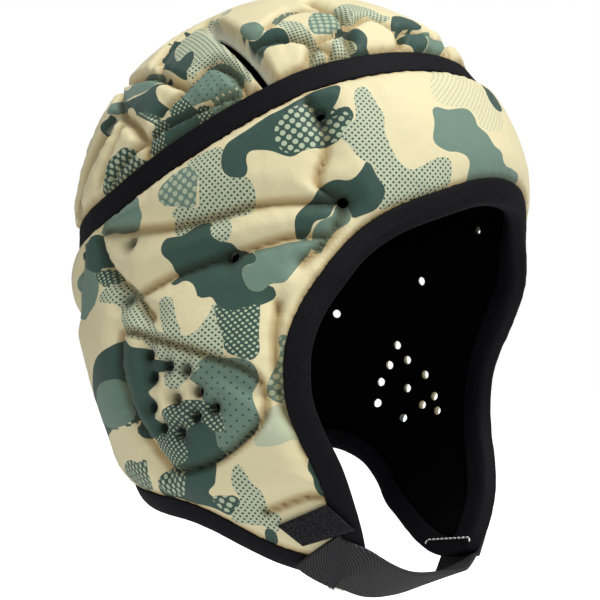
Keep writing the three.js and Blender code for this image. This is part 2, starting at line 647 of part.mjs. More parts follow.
// A layer of the cap between two stacks of rings, with its holes and slits cut through
const layer = (outer, inner, cutters) => toGeometry(allCut(toSolid(shell(outer, inner)), cutters));
const hollow = () => 0;
const crownPad = layer(
  ringsOf(crownWays(CROWN_ROWS, GAP / 2), OUTER_COLUMNS, crownThickness),
  ringsOf(crownWays(INNER_CROWN_ROWS, GAP / 2), INNER_COLUMNS, hollow),
  slitCutters,
);
const bodyPad = layer(
  ringsOf(bodyWays(BODY_ROWS, GAP / 2), OUTER_COLUMNS, bodyThickness),
  ringsOf(bodyWays(INNER_BODY_ROWS, GAP / 2), INNER_COLUMNS, hollow),
  [beyondEdge(), ...holeCutters],
);
const innerWays = (seam) =>
  [...crownWays(INNER_CROWN_ROWS, 0)(seam), ...bodyWays(INNER_BODY_ROWS, 0)(seam).slice(1)];
const lining = layer(
  ringsOf(innerWays, INNER_COLUMNS, () => -GAP),
  ringsOf(innerWays, INNER_COLUMNS, () => -GAP - LINING),
  [beyondEdge(), ...holeCutters, ...slitCutters],
);

const finish = (color, roughness) => new THREE.MeshStandardMaterial({ color, roughness, metalness: 0 });
const PRINTED_CLOTH = finish(0xc9c3a0, 0.85);
const BLACK_TAPE = finish(0x1b191d, 0.8);
const BLACK_CLOTH = finish(0x0c0c0d, 0.9);
const PILE = finish(0x141315, 1);
const WEBBING = finish(0x343436, 0.85);

const cap = new THREE.Group();
function place(name, geometry, material) {
  const mesh = new THREE.Mesh(geometry, material);
  mesh.name = name;
  cap.add(mesh);
}
place('crown_pad', crownPad, PRINTED_CLOTH);
place('body_pad', bodyPad, PRINTED_CLOTH);
place('lining', lining, BLACK_CLOTH);
place('crown_tape', crownTape(), BLACK_TAPE);
place('edge_binding', edgeBinding(), BLACK_TAPE);
place('fastening_tab', fasteningTab(), PILE);
place('chin_strap', strapBand(), WEBBING);

export default cap;
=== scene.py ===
# %% [markdown]
# This lesson dresses a padded scrum cap: quilted foam under printed stretch cloth, dark tapes
# over its seams, a black lining and a webbing strap. The solids that fix its size come first.
# Every piece below is made round them, in metres, with the face looking to -Y.

# %% The frame
import math

import bmesh
import bpy
import numpy as np
from mathutils import Matrix, Vector, noise
from mathutils.bvhtree import BVHTree
from mathutils.kdtree import KDTree


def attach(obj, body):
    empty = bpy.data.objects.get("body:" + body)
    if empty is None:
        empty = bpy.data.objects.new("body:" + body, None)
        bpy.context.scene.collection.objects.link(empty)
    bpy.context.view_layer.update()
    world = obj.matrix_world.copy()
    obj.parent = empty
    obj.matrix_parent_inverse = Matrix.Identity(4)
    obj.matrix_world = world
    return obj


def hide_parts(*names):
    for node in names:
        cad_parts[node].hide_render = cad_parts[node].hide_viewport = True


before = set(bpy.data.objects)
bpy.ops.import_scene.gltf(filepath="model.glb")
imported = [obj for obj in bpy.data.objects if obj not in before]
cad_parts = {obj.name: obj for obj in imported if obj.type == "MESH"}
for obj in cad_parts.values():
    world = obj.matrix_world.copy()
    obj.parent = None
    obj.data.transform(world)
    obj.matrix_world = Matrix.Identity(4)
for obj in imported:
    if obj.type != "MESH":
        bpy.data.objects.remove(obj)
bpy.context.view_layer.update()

MM = 0.001
print("nodes", sorted(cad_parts))

# %% [markdown]
# The photograph was taken from the wearer's front right, a little below the middle of the cap.
# A camera is three directions and a place, so its matrix is put together from them. The lens
# comes from the focal length in pixels of a picture 600 pixels wide.

# %% The camera
PICTURE = 600
FOCAL_PIXELS = 1362
AZIMUTH, ELEVATION, ROLL = (math.radians(angle) for angle in (-57.34, -3.73, -1.33))
AIM_ASIDE, AIM_HEIGHT, AWAY = -0.5 * MM, -127.1 * MM, 621.5 * MM
SENSOR = 36.0

back = Vector((math.sin(AZIMUTH) * math.cos(ELEVATION), -math.cos(AZIMUTH) * math.cos(ELEVATION),
               math.sin(ELEVATION)))
level_right = Vector((math.cos(AZIMUTH), math.sin(AZIMUTH), 0))
level_up = back.cross(level_right)
right = math.cos(ROLL) * level_right + math.sin(ROLL) * level_up
up = math.cos(ROLL) * level_up - math.sin(ROLL) * level_right
eye = Vector((0, 0, AIM_HEIGHT)) + level_right * AIM_ASIDE + back * AWAY

camera_data = bpy.data.cameras.new("camera")
camera_data.lens = FOCAL_PIXELS / PICTURE * SENSOR
camera_data.sensor_width = SENSOR
camera = bpy.data.objects.new("camera", camera_data)
camera.matrix_world = Matrix((right, up, back)).transposed().to_4x4()
camera.location = eye
bpy.context.scene.collection.objects.link(camera)
bpy.context.scene.camera = camera
print("camera at", [round(value, 3) for value in eye])

# %% [markdown]
# The cap hangs in white studio light over a pale floor. The world and the floor are white to
# the camera and dimmer as a light, so that folds keep their shade. A large soft lamp stands
# high in front, and a weak one fills the shadows from the right.

# %% The light and the floor
FLOOR_LEVEL = -0.32
FLOOR_SIZE = 60
FLOOR_GLOW = 1.0
AMBIENT = 0.25
KEY_PLACE, KEY_SIZE, KEY_WATTS = (-0.25, -1.0, 1.45), 0.7, 30
FILL_PLACE, FILL_SIZE, FILL_WATTS = (-1.5, 0.2, 0.5), 1.0, 2
WHITE = (1, 1, 1, 1)
FLOOR_GREY = (0.95, 0.95, 0.95, 1)

world = bpy.data.worlds.new("studio")
world.use_nodes = True
bpy.context.scene.world = world
sky = world.node_tree.nodes
glow = sky["Background"]
seen = sky.new("ShaderNodeBackground")
path = sky.new("ShaderNodeLightPath")
choice = sky.new("ShaderNodeMixShader")
glow.inputs["Color"].default_value = WHITE
glow.inputs["Strength"].default_value = AMBIENT
seen.inputs["Color"].default_value = WHITE
world.node_tree.links.new(path.outputs["Is Camera Ray"], choice.inputs["Fac"])
world.node_tree.links.new(glow.outputs[0], choice.inputs[1])
world.node_tree.links.new(seen.outputs[0], choice.inputs[2])
world.node_tree.links.new(choice.outputs[0], sky["World Output"].inputs["Surface"])
bpy.context.scene.view_settings.view_transform = "Standard"


def soft_lamp(name, place, size, watts):
    """A square lamp that looks at the middle of the cap."""
    data = bpy.data.lights.new(name, "AREA")
    data.shape = "SQUARE"
    data.size = size
    data.energy = watts
    lamp = bpy.data.objects.new(name, data)
    lamp.location = place
    aim = Vector((0, 0, AIM_HEIGHT)) - lamp.location
    lamp.rotation_euler = aim.to_track_quat("-Z", "Y").to_euler()
    bpy.context.scene.collection.objects.link(lamp)


soft_lamp("key_lamp", KEY_PLACE, KEY_SIZE, KEY_WATTS)
soft_lamp("side_lamp", FILL_PLACE, FILL_SIZE, FILL_WATTS)

floor_sheet = bmesh.new()
bmesh.ops.create_grid(floor_sheet, x_segments=1, y_segments=1, size=FLOOR_SIZE / 2,
                      matrix=Matrix.Translation((0, 0, FLOOR_LEVEL)))
floor_mesh = bpy.data.meshes.new("floor")
floor_sheet.to_mesh(floor_mesh)
floor_sheet.free()
studio_floor = bpy.data.objects.new("floor", floor_mesh)
bpy.context.scene.collection.objects.link(studio_floor)
floor_finish = bpy.data.materials.new("pale_floor")
floor_finish.use_nodes = True
floor_tree = floor_finish.node_tree
floor_inputs = floor_tree.nodes["Principled BSDF"].inputs
floor_inputs["Base Color"].default_value = FLOOR_GREY
floor_inputs["Roughness"].default_value = 1
floor_inputs["Emission Strength"].default_value = FLOOR_GLOW
floor_path = floor_tree.nodes.new("ShaderNodeLightPath")
floor_tree.links.new(floor_path.outputs["Is Camera Ray"], floor_inputs["Emission Color"])
floor_mesh.materials.append(floor_finish)
print("floor at", FLOOR_LEVEL)

# %% [markdown]
# A cap follows a head, so the whole object rests on one egg-shaped form. Its hollow is a dome
# above the widest level and a row of smooth sections below it. The same few sizes as in the
# solids give it: turn is a share of a half turn from the face, level a share of the drop.

# %% The form of the head
HEAD_WIDTH = 160 * MM
HEAD_LENGTH = 200 * MM
CROWN_RISE = 100 * MM
SIDE_DROP = 150 * MM
DOME_POWER = 2.1
PAD = 10 * MM
EDGE_PAD = 4 * MM
LINING = 0.9 * MM
TAPE = 1.1 * MM
STRAP = 1.8 * MM
TAB = 2.2 * MM
GAP = 0.35 * MM
TAPE_REST = 1 * MM
EDGE_TAPE_WIDTH = 8.5 * MM
RING_TAPE_WIDTH = 11 * MM
STRAP_WIDTH = 25 * MM

CAP_DROP = CROWN_RISE + SIDE_DROP
DOME_WAY = math.pi / 2 * CROWN_RISE
BOTTOM_WAY = DOME_WAY + 1.05 * SIDE_DROP
HEAD_CENTRE = np.array([0, 0, -CROWN_RISE])
OVER_EDGE = EDGE_PAD + TAPE_REST
TAPE_TOP = OVER_EDGE + TAPE

# Half widths and half lengths of the hollow, from its widest level down in equal drops
SIDE_SHARES = (0.99, 1.03, 1.1, 1.095, 1.01, 0.855, 0.59)
FRONT_SHARES = (0.99, 1.07, 1.11, 1.07, 1.0, 0.94, 0.89)
BACK_SHARES = (1.03, 1.0, 0.905, 0.785, 0.68, 0.545, 0.42)


def through(shares, place):
    """A smooth curve through equally spaced shares, level at the first one."""
    at = np.array(shares)
    slope = np.gradient(at)
    slope[0] = 0
    row = np.clip(place.astype(int), 0, len(at) - 2)
    part = place - row
    ease = part * part * (3 - 2 * part)
    bend = slope[row] * part * (1 - part) ** 2 - slope[row + 1] * part * part * (1 - part)
    inside = at[row] + (at[row + 1] - at[row]) * ease + bend
    return np.where(part > 1, at[row + 1] + (part - 1) * slope[row + 1], inside)


def hollow_at(height):
    """Half width, and half length to the front and to the back, of the hollow at a height."""
    place = np.clip((-CROWN_RISE - height) / SIDE_DROP, 0, 1.2) * (len(SIDE_SHARES) - 1)
    half_width, half_length = HEAD_WIDTH / 2, HEAD_LENGTH / 2
    return (through(SIDE_SHARES, place) * half_width, through(FRONT_SHARES, place) * half_length,
            through(BACK_SHARES, place) * half_length)


def settle(points, out):
    """Moves points onto the form that lies out from the hollow."""
    points = np.asarray(points, float)
    x, y, z = points.T
    side, front, rear = hollow_at(z)
    length = np.where(y < 0, front, rear)
    around = np.hypot(x / (side + out), y / (length + out))
    rise = np.maximum((z + CROWN_RISE) / (CROWN_RISE + out), 0)
    scale = (around ** DOME_POWER + rise ** DOME_POWER) ** (-1 / DOME_POWER)
    height = np.where(rise > 0, (z + CROWN_RISE) * scale - CROWN_RISE, z)
    return np.column_stack([x * scale, y * scale, height])


def form_point(turn, level, out):
    """The point of the form at a turn and a level."""
    turn = np.asarray(turn, float) * math.pi
    height = -np.asarray(level, float) * CAP_DROP
    side, front, rear = hollow_at(height)
    rise = np.clip((height + CROWN_RISE) / (CROWN_RISE + out), 0, 1)
    girth = (1 - rise ** DOME_POWER) ** (1 / DOME_POWER)
    length = np.where(np.cos(turn) > 0, front, rear)
    aside, forward = girth * np.sin(turn), girth * np.cos(turn)
    return np.column_stack([(side + out) * aside, -(length + out) * forward, height])


def point_down(turn, way, out):
    """The point of the form at a turn, and at a way down from its top along the surface."""
    angle = np.minimum(way / CROWN_RISE, math.pi / 2)
    side, front, rear = hollow_at(np.zeros_like(way))
    length = np.where(np.cos(turn) > 0, front, rear)
    aim = np.column_stack([
        (side + out) * np.sin(angle) * np.sin(turn),
        -(length + out) * np.sin(angle) * np.cos(turn),
        (CROWN_RISE + out) * np.cos(angle) - CROWN_RISE,
    ])
    dome = settle(aim, out)
    below = -CROWN_RISE - (way - DOME_WAY)
    sides = form_point(turn / math.pi, -below / CAP_DROP, out)
    return np.where((way > DOME_WAY)[:, None], sides, dome)


def way_and_turn(points, out):
    """The turn and the way down of points that lie about out from the hollow."""
    x, y, z = np.asarray(points).T
    side, front, rear = hollow_at(z)
    length = np.where(y < 0, front, rear)
    turn = np.arctan2(x / (side + out), -y / (length + out))
    rise = np.clip((z + CROWN_RISE) / (CROWN_RISE + out), 0, 1) ** DOME_POWER
    dome = np.arctan2((1 - rise) ** (1 / DOME_POWER), rise ** (1 / DOME_POWER)) * CROWN_RISE
    return np.where(z < -CROWN_RISE, DOME_WAY - CROWN_RISE - z, dome), turn


def outward(points):
    """Directions that lead straight off the form."""
    def off(places):
        return (np.linalg.norm(places - HEAD_CENTRE, axis=1)
                - np.linalg.norm(settle(places, 0) - HEAD_CENTRE, axis=1))
    step = 0.5 * MM
    slope = np.column_stack([off(points + step * axis) - off(points - step * axis) for axis in np.eye(3)])
    return slope / np.linalg.norm(slope, axis=1)[:, None]


print("form", HEAD_WIDTH, "wide", HEAD_LENGTH, "long", CAP_DROP, "deep")

# %% [markdown]
# Seams, channels and edges are lines on this form. Each is a few stations, joined by a smooth
# curve whose pull grows with the root of the spacing, so that it never loops between them.

# %% Lines on the form
LINE_SPACING = 0.5 * MM
CURVE_STEPS = 14


def even(points, spacing):
    """The same line with points at an even spacing."""
    way = np.concatenate([[0], np.cumsum(np.linalg.norm(np.diff(points, axis=0), axis=1))])
    at = np.linspace(0, way[-1], max(2, round(way[-1] / spacing)) + 1)
    return np.column_stack([np.interp(at, way, points[:, axis]) for axis in range(points.shape[1])])


def smooth_line(corners, closed=False, spacing=LINE_SPACING):
    """A curve through corners, as points at an even spacing."""
    corners = np.asarray(corners, float)
    if closed:
        knots = np.vstack([corners[-1], corners, corners[:2]])
    else:
        knots = np.vstack([2 * corners[0] - corners[1], corners, 2 * corners[-1] - corners[-2]])
    time = np.concatenate([[0], np.cumsum(np.linalg.norm(np.diff(knots, axis=0), axis=1) ** 0.5)])
    fine = []
    for first in range(len(knots) - 3):
        t = time[first:first + 4]
        p = knots[first:first + 4]
        now = np.linspace(t[1], t[2], CURVE_STEPS, endpoint=False)[:, None]
        one, two, three = (((t[k + 1] - now) * p[k] + (now - t[k]) * p[k + 1]) / (t[k + 1] - t[k])
                           for k in range(3))
        low = ((t[2] - now) * one + (now - t[0]) * two) / (t[2] - t[0])
        high = ((t[3] - now) * two + (now - t[1]) * three) / (t[3] - t[1])
        fine.append(((t[2] - now) * low + (now - t[1]) * high) / (t[2] - t[1]))
    fine.append(knots[-2][None, :])
    return even(np.vstack(fine), spacing)


def places_at(stations, side, out):
    """Places on the form at pairs of a turn and a level, on the right (-1) or the left (1)."""
    turns, levels = np.array(stations).T
    return form_point(side * turns, levels, out)


def line_on_form(stations, side, closed=False):
    """A smooth line on the form, on the right (-1) or the left (1)."""
    return settle(smooth_line(places_at(stations, side, PAD), closed), PAD)


def on_both_sides(lines):
    return [line_on_form(stations, side) for side in (-1, 1) for stations in lines]


def loop_on_form(right_side, left_side, out):
    """A closed line, from the forehead down the right to the nape and back up the left."""
    places = np.vstack([places_at(right_side, -1, out), places_at(left_side, 1, out)[-2:0:-1]])
    return settle(smooth_line(places, closed=True)[:-1], out)


RING = [(0, 0.136), (0.08, 0.136), (0.18, 0.144), (0.25, 0.156), (0.345, 0.184), (0.385, 0.204),
        (0.45, 0.24), (0.5, 0.27), (0.583, 0.318), (0.65, 0.35), (0.8, 0.385), (1, 0.395)]
EDGE_RIGHT = [(0, 0.368), (0.07, 0.372), (0.151, 0.396), (0.223, 0.426), (0.272, 0.462), (0.308, 0.51),
              (0.331, 0.556), (0.343, 0.604), (0.344, 0.65), (0.34, 0.69), (0.328, 0.734), (0.306, 0.796),
              (0.293, 0.86), (0.289, 0.91), (0.295, 0.945), (0.32, 0.966), (0.352, 0.968), (0.382, 0.96),
              (0.42, 0.943), (0.453, 0.92), (0.49, 0.893), (0.545, 0.876), (0.63, 0.868), (0.74, 0.86),
              (0.87, 0.845), (1, 0.84)]
EDGE_LEFT = [(0, 0.368), (0.07, 0.378), (0.13, 0.41), (0.19, 0.46), (0.24, 0.508), (0.285, 0.555),
             (0.322, 0.605), (0.338, 0.652), (0.338, 0.7), (0.325, 0.757), (0.299, 0.812), (0.278, 0.86),
             (0.268, 0.91), (0.27, 0.95), (0.295, 0.974), (0.34, 0.976), (0.385, 0.962), (0.42, 0.943),
             (0.453, 0.92), (0.486, 0.893), (0.524, 0.85), (0.571, 0.812), (0.64, 0.785), (0.74, 0.79),
             (0.87, 0.82), (1, 0.84)]
ring_loop = loop_on_form(RING, RING, EDGE_PAD)
edge_loop = loop_on_form(EDGE_RIGHT, EDGE_LEFT, EDGE_PAD / 2)
print("ring seam", len(ring_loop), "points, free edge", len(edge_loop), "points")

# %% [markdown]
# A field tells every point of the cloth how far the nearest line is, and how far along that
# line it lies. A tree of the lines' points finds both quickly.

# %% Distances from lines


class Lines:
    """Lines of points, asked for the nearest one."""

    def __init__(self, lines):
        self.points = np.vstack(lines)
        self.tree = KDTree(len(self.points))
        for index, place in enumerate(self.points):
            self.tree.insert(place, index)
        self.tree.balance()

    def near(self, points):
        """Distance to the nearest line, and the way along all lines to that place."""
        found = np.array([self.tree.find(place)[1:] for place in points])
        return found[:, 1], found[:, 0] * LINE_SPACING


def raised(points):
    """The same points on the form at one height off the hollow, where lines are compared."""
    return settle(points, PAD)


BODY_CHANNELS = [
    [(0.652, 0.393), (0.58, 0.4), (0.514, 0.402), (0.456, 0.393), (0.396, 0.378), (0.294, 0.379)],
    [(0.569, 0.51), (0.51, 0.483), (0.419, 0.452), (0.356, 0.433), (0.309, 0.434)],
    [(0.664, 0.402), (0.644, 0.446), (0.576, 0.513), (0.539, 0.551)],
    [(0.331, 0.205), (0.313, 0.24), (0.31, 0.294), (0.321, 0.348), (0.291, 0.379), (0.309, 0.434),
     (0.348, 0.475)],
    [(0.376, 0.539), (0.378, 0.593), (0.368, 0.693), (0.351, 0.733), (0.333, 0.779)],
    [(0.404, 0.862), (0.341, 0.837), (0.323, 0.84)],
    [(0.6, 0.573), (0.607, 0.621), (0.602, 0.665), (0.591, 0.708), (0.56, 0.755), (0.534, 0.792)],
    [(0.72, 0.42), (0.745, 0.5), (0.76, 0.58), (0.765, 0.66), (0.75, 0.74), (0.72, 0.8)],
    [(0.745, 0.52), (0.85, 0.535), (1, 0.54)],
    [(0.765, 0.66), (0.87, 0.675), (1, 0.68)],
]
EAR_PAD = [(0.595, 0.574), (0.606, 0.625), (0.597, 0.68), (0.57, 0.74), (0.529, 0.791), (0.49, 0.793),
           (0.438, 0.77), (0.386, 0.703), (0.395, 0.651), (0.456, 0.613), (0.53, 0.585)]
EAR_RIDGE = [(0.458, 0.635), (0.425, 0.65), (0.396, 0.675)]
CROWN_CHANNELS = [
    [(0.64, 0.3), (0.61, 0.27), (0.54, 0.225), (0.48, 0.2), (0.43, 0.183), (0.4, 0.19)],
    [(0.56, 0.205), (0.52, 0.16), (0.49, 0.125), (0.45, 0.14), (0.42, 0.18)],
    [(0.57, 0.25), (0.61, 0.21), (0.66, 0.18), (0.76, 0.11)],
    [(0.57, 0.25), (0.57, 0.285), (0.58, 0.32)],
    [(0.64, 0.21), (0.65, 0.25), (0.67, 0.3)],
    [(0.76, 0.11), (0.7, 0.11), (0.61, 0.12), (0.56, 0.14), (0.52, 0.16)],
    [(0.61, 0.12), (0.62, 0.07), (0.6, 0.02)],
    [(0.39, 0.17), (0.36, 0.165), (0.33, 0.14), (0.32, 0.1), (0.36, 0.09), (0.43, 0.1)],
    [(0.32, 0.1), (0.29, 0.12), (0.3, 0.17)],
    [(0.4, 0.06), (0.36, 0.03), (0.25, 0.035), (0.25, 0.07), (0.32, 0.1)],
    [(0.25, 0.07), (0.255, 0.12), (0.26, 0.165)],
    [(0.25, 0.07), (0.18, 0.045), (0.14, 0.07), (0.16, 0.11), (0.19, 0.145)],
    [(0.14, 0.07), (0.06, 0.065), (0, 0.075)],
    [(0.76, 0.11), (0.88, 0.1), (1, 0.11)],
    [(0.78, 0.11), (0.8, 0.2), (0.8, 0.3), (0.82, 0.4)],
    [(0.8, 0.22), (0.9, 0.23), (1, 0.22)],
    [(0.25, 0.035), (0.28, 0.015), (0.3, 0.001)],
    [(0.64, 0.09), (0.68, 0.03), (0.7, 0.001)],
]
CROWN_MIDDLE = [
    [(0, 0.15), (0, 0.075), (0, 0.02), (0, 0.001)],
    [(1, 0.41), (1, 0.22), (1, 0.11), (1, 0.02), (1, 0.001)],
]
FRONT_SLIT = [(0.56, 0.03), (0.475, 0.07), (0.425, 0.115), (0.398, 0.152), (0.38, 0.176)]
BACK_SLIT = [(0.69, 0.2), (0.73, 0.26), (0.77, 0.32)]
# How wide each slit is, as a share of the pad's thickness
SLIT_OPENINGS = ((FRONT_SLIT, 0.45), (BACK_SLIT, 1.2))
# The part of that width that is cut out, the rest being the rolled rims
SLIT_CUT = 0.8

ring_line = Lines([settle(ring_loop, PAD)])
edge_line = Lines([settle(edge_loop, PAD)])
body_lines = Lines(on_both_sides(BODY_CHANNELS))
crown_lines = Lines(on_both_sides(CROWN_CHANNELS) + [line_on_form(rows, 1) for rows in CROWN_MIDDLE])
ear_rims = Lines([line_on_form(EAR_PAD, side, closed=True) for side in (-1, 1)])
ear_ridges = Lines(on_both_sides([EAR_RIDGE]))
slit_lines = [(Lines(on_both_sides([stations])), opening * PAD / 2) for stations, opening in SLIT_OPENINGS]
print("sewn lines on the body", len(body_lines.points), "points, on the crown", len(crown_lines.points))

# %% [markdown]
# Air holes go through the foam in a group over each ear and singly elsewhere.

# %% The holes
HOLE_RADIUS = 2.1 * MM
HOLE_SIDES = 20
PAD_HOLE_RADIUS = 3.2 * MM
NEAR_HOLE_RADIUS = 2.3 * MM
VENTS = [(0.595, 0.517), (0.594, 0.42), (0.313, 0.24), (0.29, 0.38), (0.435, 0.462)]
EAR_HOLES_RIGHT = [(0.542, 0.612), (0.508, 0.629), (0.483, 0.636), (0.536, 0.646), (0.498, 0.68),
                   (0.468, 0.67), (0.544, 0.692), (0.448, 0.694), (0.473, 0.707), (0.529, 0.724),
                   (0.496, 0.732)]
EAR_HOLES_LEFT = [(0.495, 0.586), (0.48, 0.617), (0.513, 0.626), (0.45, 0.648), (0.533, 0.66),
                  (0.481, 0.674), (0.432, 0.691), (0.542, 0.703), (0.453, 0.708), (0.424, 0.72),
                  (0.485, 0.734)]
right_holes = np.array(VENTS + EAR_HOLES_RIGHT)
left_holes = np.array(VENTS + EAR_HOLES_LEFT)
hole_turns = np.concatenate([-right_holes[:, 0], left_holes[:, 0]])
hole_levels = np.concatenate([right_holes[:, 1], left_holes[:, 1]])
hole_places = form_point(hole_turns, hole_levels, 0)
hole_ways = outward(hole_places)
hole_radii = np.where(hole_places[:, 0] > 0, PAD_HOLE_RADIUS, NEAR_HOLE_RADIUS)
away_from_eye = hole_places - np.array(eye)
away_from_eye /= np.linalg.norm(away_from_eye, axis=1)[:, None]
far_side = hole_places[:, 0] > 0
hole_ways[far_side] += away_from_eye[far_side]
hole_ways[far_side] /= np.linalg.norm(hole_ways[far_side], axis=1)[:, None]
hole_rims = Lines([form_point(hole_turns, hole_levels, PAD)])
print("holes", len(hole_places))

# %% [markdown]
# Everything that wraps the form starts as one flat grid, and each of its corners is moved to
# its place. A closed band is a grid whose first and last columns meet and are merged.

# %% Grids and objects
LEVEL_CELLS = (120, 90)
LINING_CELLS = (200, 150)
TAB_CELLS = (46, 22)
WELD = 0.01 * MM
LINING_WELD = 0.02 * MM
BODY_WELD = 0.05 * MM


def flat_grid(columns, rows):
    """A square grid from 0 to 1 each way, with its shares along both sides as arrays."""
    sheet = bmesh.new()
    bmesh.ops.create_grid(sheet, x_segments=columns, y_segments=rows, size=0.5)
    shares = np.array([corner.co for corner in sheet.verts]) + 0.5
    number = sheet.verts.layers.int.new("number")
    for count, corner in enumerate(sheet.verts):
        corner[number] = count
    return sheet, shares[:, 0], shares[:, 1]


def keep_corners(sheet, keep):
    """Removes each face with a corner that isn't kept, and gives the numbers of the rest."""
    number = sheet.verts.layers.int["number"]
    unwanted = [face for face in sheet.faces if not all(keep[corner[number]] for corner in face.verts)]
    bmesh.ops.delete(sheet, geom=unwanted, context="FACES")
    loose = [corner for corner in sheet.verts if not corner.link_faces]
    bmesh.ops.delete(sheet, geom=loose, context="VERTS")
    number = sheet.verts.layers.int["number"]
    return np.array([corner[number] for corner in sheet.verts])


def put(corners, places):
    for corner, place in zip(corners, places):
        corner.co = place


def as_object(sheet, name, finish):
    """Hands a modelled sheet over as a named object."""
    mesh = bpy.data.meshes.new(name)
    sheet.to_mesh(mesh)
    sheet.free()
    mesh.materials.append(finish)
    mesh.shade_smooth()
    piece = bpy.data.objects.new(name, mesh)
    bpy.context.scene.collection.objects.link(piece)
    print(name, len(mesh.polygons), "faces")
    return piece


def dressed(piece, slot, *nodes):
    """Puts a piece on the cap in place of solids."""
    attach(piece, "root")
    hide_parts(*nodes)


def applied(piece, kind, **settings):
    """Adds a modifier and makes its result the mesh."""
    modifier = piece.modifiers.new(kind.lower(), kind)
    for name, value in settings.items():
        setattr(modifier, name, value)
    graph = bpy.context.evaluated_depsgraph_get()
    mesh = bpy.data.meshes.new_from_object(piece.evaluated_get(graph), depsgraph=graph)
    piece.modifiers.clear()
    old = piece.data
    piece.data = mesh
    mesh.name = piece.name
    bpy.data.meshes.remove(old)


# %% [markdown]
# Shader sums read better as sums. This class wraps a socket, so that plus, times and one minus
# a wire add Math nodes, and one method adds any other node with its settings and its inputs.

# %% Shader sums


class Wire:
    """A socket of a material that can be added, scaled and compared."""

    def __init__(self, tree, socket):
        self.tree = tree
        self.socket = socket

    def node(self, kind, settings=None, output=0, **inputs):
        """Another node of this tree, with its settings and the values or wires of its inputs."""
        made = self.tree.nodes.new("ShaderNode" + kind)
        for name, value in (settings or {}).items():
            setattr(made, name, value)
        for name, value in inputs.items():
            key = int(name[1:]) if name[0] == "i" and name[1:].isdigit() else name.replace("_", " ")
            join(self.tree, made.inputs[key], value)
        return Wire(self.tree, made.outputs[output])

    def math(self, operation, *values):
        inputs = {f"i{index}": value for index, value in enumerate((self, *values))}
        return self.node("Math", {"operation": operation}, **inputs)

    def __add__(self, other):
        return self.math("ADD", other)

    def __rsub__(self, other):
        return self.node("Math", {"operation": "SUBTRACT"}, i0=other, i1=self)

    def __mul__(self, other):
        return self.math("MULTIPLY", other)

    def smooth(self, low, high):
        """0 below low, 1 above high, and a soft step between."""
        return self.node("MapRange", {"interpolation_type": "SMOOTHSTEP"},
                         Value=self, From_Min=low, From_Max=high)

    def tint(self, under, over):
        """The colour under where this is 0, and the colour over where it is 1."""
        return self.node("Mix", {"data_type": "RGBA"}, output=2, i0=self, i6=under, i7=over)

    def vector(self, operation, *values, output=0):
        inputs = {f"i{index}": value for index, value in enumerate((self, *values))}
        return self.node("VectorMath", {"operation": operation}, output=output, **inputs)


def join(tree, socket, value):
    if isinstance(value, Wire):
        tree.links.new(value.socket, socket)
    elif isinstance(value, (tuple, list)) and len(socket.default_value) == 4:
        socket.default_value = (*value, 1)[:4]
    else:
        socket.default_value = value


def colour(red, green, blue):
    """A printed colour from 0 to 255, as light."""
    return tuple((value / 255 / 12.92 if value < 10 else ((value / 255 + 0.055) / 1.055) ** 2.4)
                 for value in (red, green, blue))


class Finish:
    """A material, and the wires its sums start from."""

    def __init__(self, name, roughness, base=(0.5, 0.5, 0.5)):
        self.material = bpy.data.materials.new(name)
        self.material.use_nodes = True
        self.tree = self.material.node_tree
        self.shader = self.tree.nodes["Principled BSDF"]
        self.set("Roughness", roughness)
        self.set("Base Color", base)
        self.set("Specular IOR Level", 0.35)

    def set(self, name, value):
        join(self.tree, self.shader.inputs[name], value)

    def start(self, kind, output, **settings):
        made = self.tree.nodes.new("ShaderNode" + kind)
        for name, value in settings.items():
            setattr(made, name, value)
        return Wire(self.tree, made.outputs[output])

    def grain(self, scale, detail):
        """Noise in the object's own space."""
        place = self.start("TexCoord", "Object")
        return place.node("TexNoise", {"noise_dimensions": "3D"}, Vector=place, Scale=scale, Detail=detail)

    def sheet(self):
        return self.start("UVMap", "UV", uv_map="print")

    def painted(self, name):
        return self.start("Attribute", "Fac", attribute_name=name)

    def bump(self, height, depth, under=None):
        """Raises the surface by a height from 0 to 1 times a depth."""
        wires = {"Height": height, "Distance": depth, "Strength": 1.0}
        if under is not None:
            wires["Normal"] = under
        bumped = height.node("Bump", **wires)
        self.set("Normal", bumped)
        return bumped


# %% [markdown]
# The print is a camouflage in cream, two greens and a pale sage, with screens of dots over
# some of its patches. A patch is an outline, and the cloth stores how deep inside each kind of
# patch it lies, so the shader can cut crisp edges between the corners of the mesh.

# %% Printed cloth
CREAM = colour(237, 226, 182)
SAGE = colour(199, 207, 176)
MID_GREEN = colour(113, 140, 124)
DARK_GREEN = colour(52, 82, 72)
PALE_DOT = colour(186, 199, 168)
# Painted shade: the warm, darker beige that the folds along the sewn lines take on
FOLD_SHADE = colour(176, 148, 100)
FIELDS = ("sage", "mid", "dark", "specks", "dots", "blobs")
DOT_PITCH = 1.65 * MM
BLOB_PITCH = 2.9 * MM
EDGE_SOFT = 0.12
DOT_SOFT = 0.05
FOLD_WIDTH = 4.0
FOLD_STRENGTH, PIT_STRENGTH = 0.8, 0.72
RIM_PALE = colour(226, 228, 214)
# Painted shade: the near black laid round the holes, in their dimples
PIT_SHADE = colour(24, 26, 24)
# Pitch, angle in degrees and radius of each screen, the radius as a share of the pitch
SPECK_SCREEN = (DOT_PITCH, 45, 0.27)
SPARSE_SCREEN = (DOT_PITCH * 1.8, 45, 0.15)
PALE_SCREEN = (DOT_PITCH * 1.05, 38, 0.3)
BLOB_SCREEN = (BLOB_PITCH, 52, 0.36)


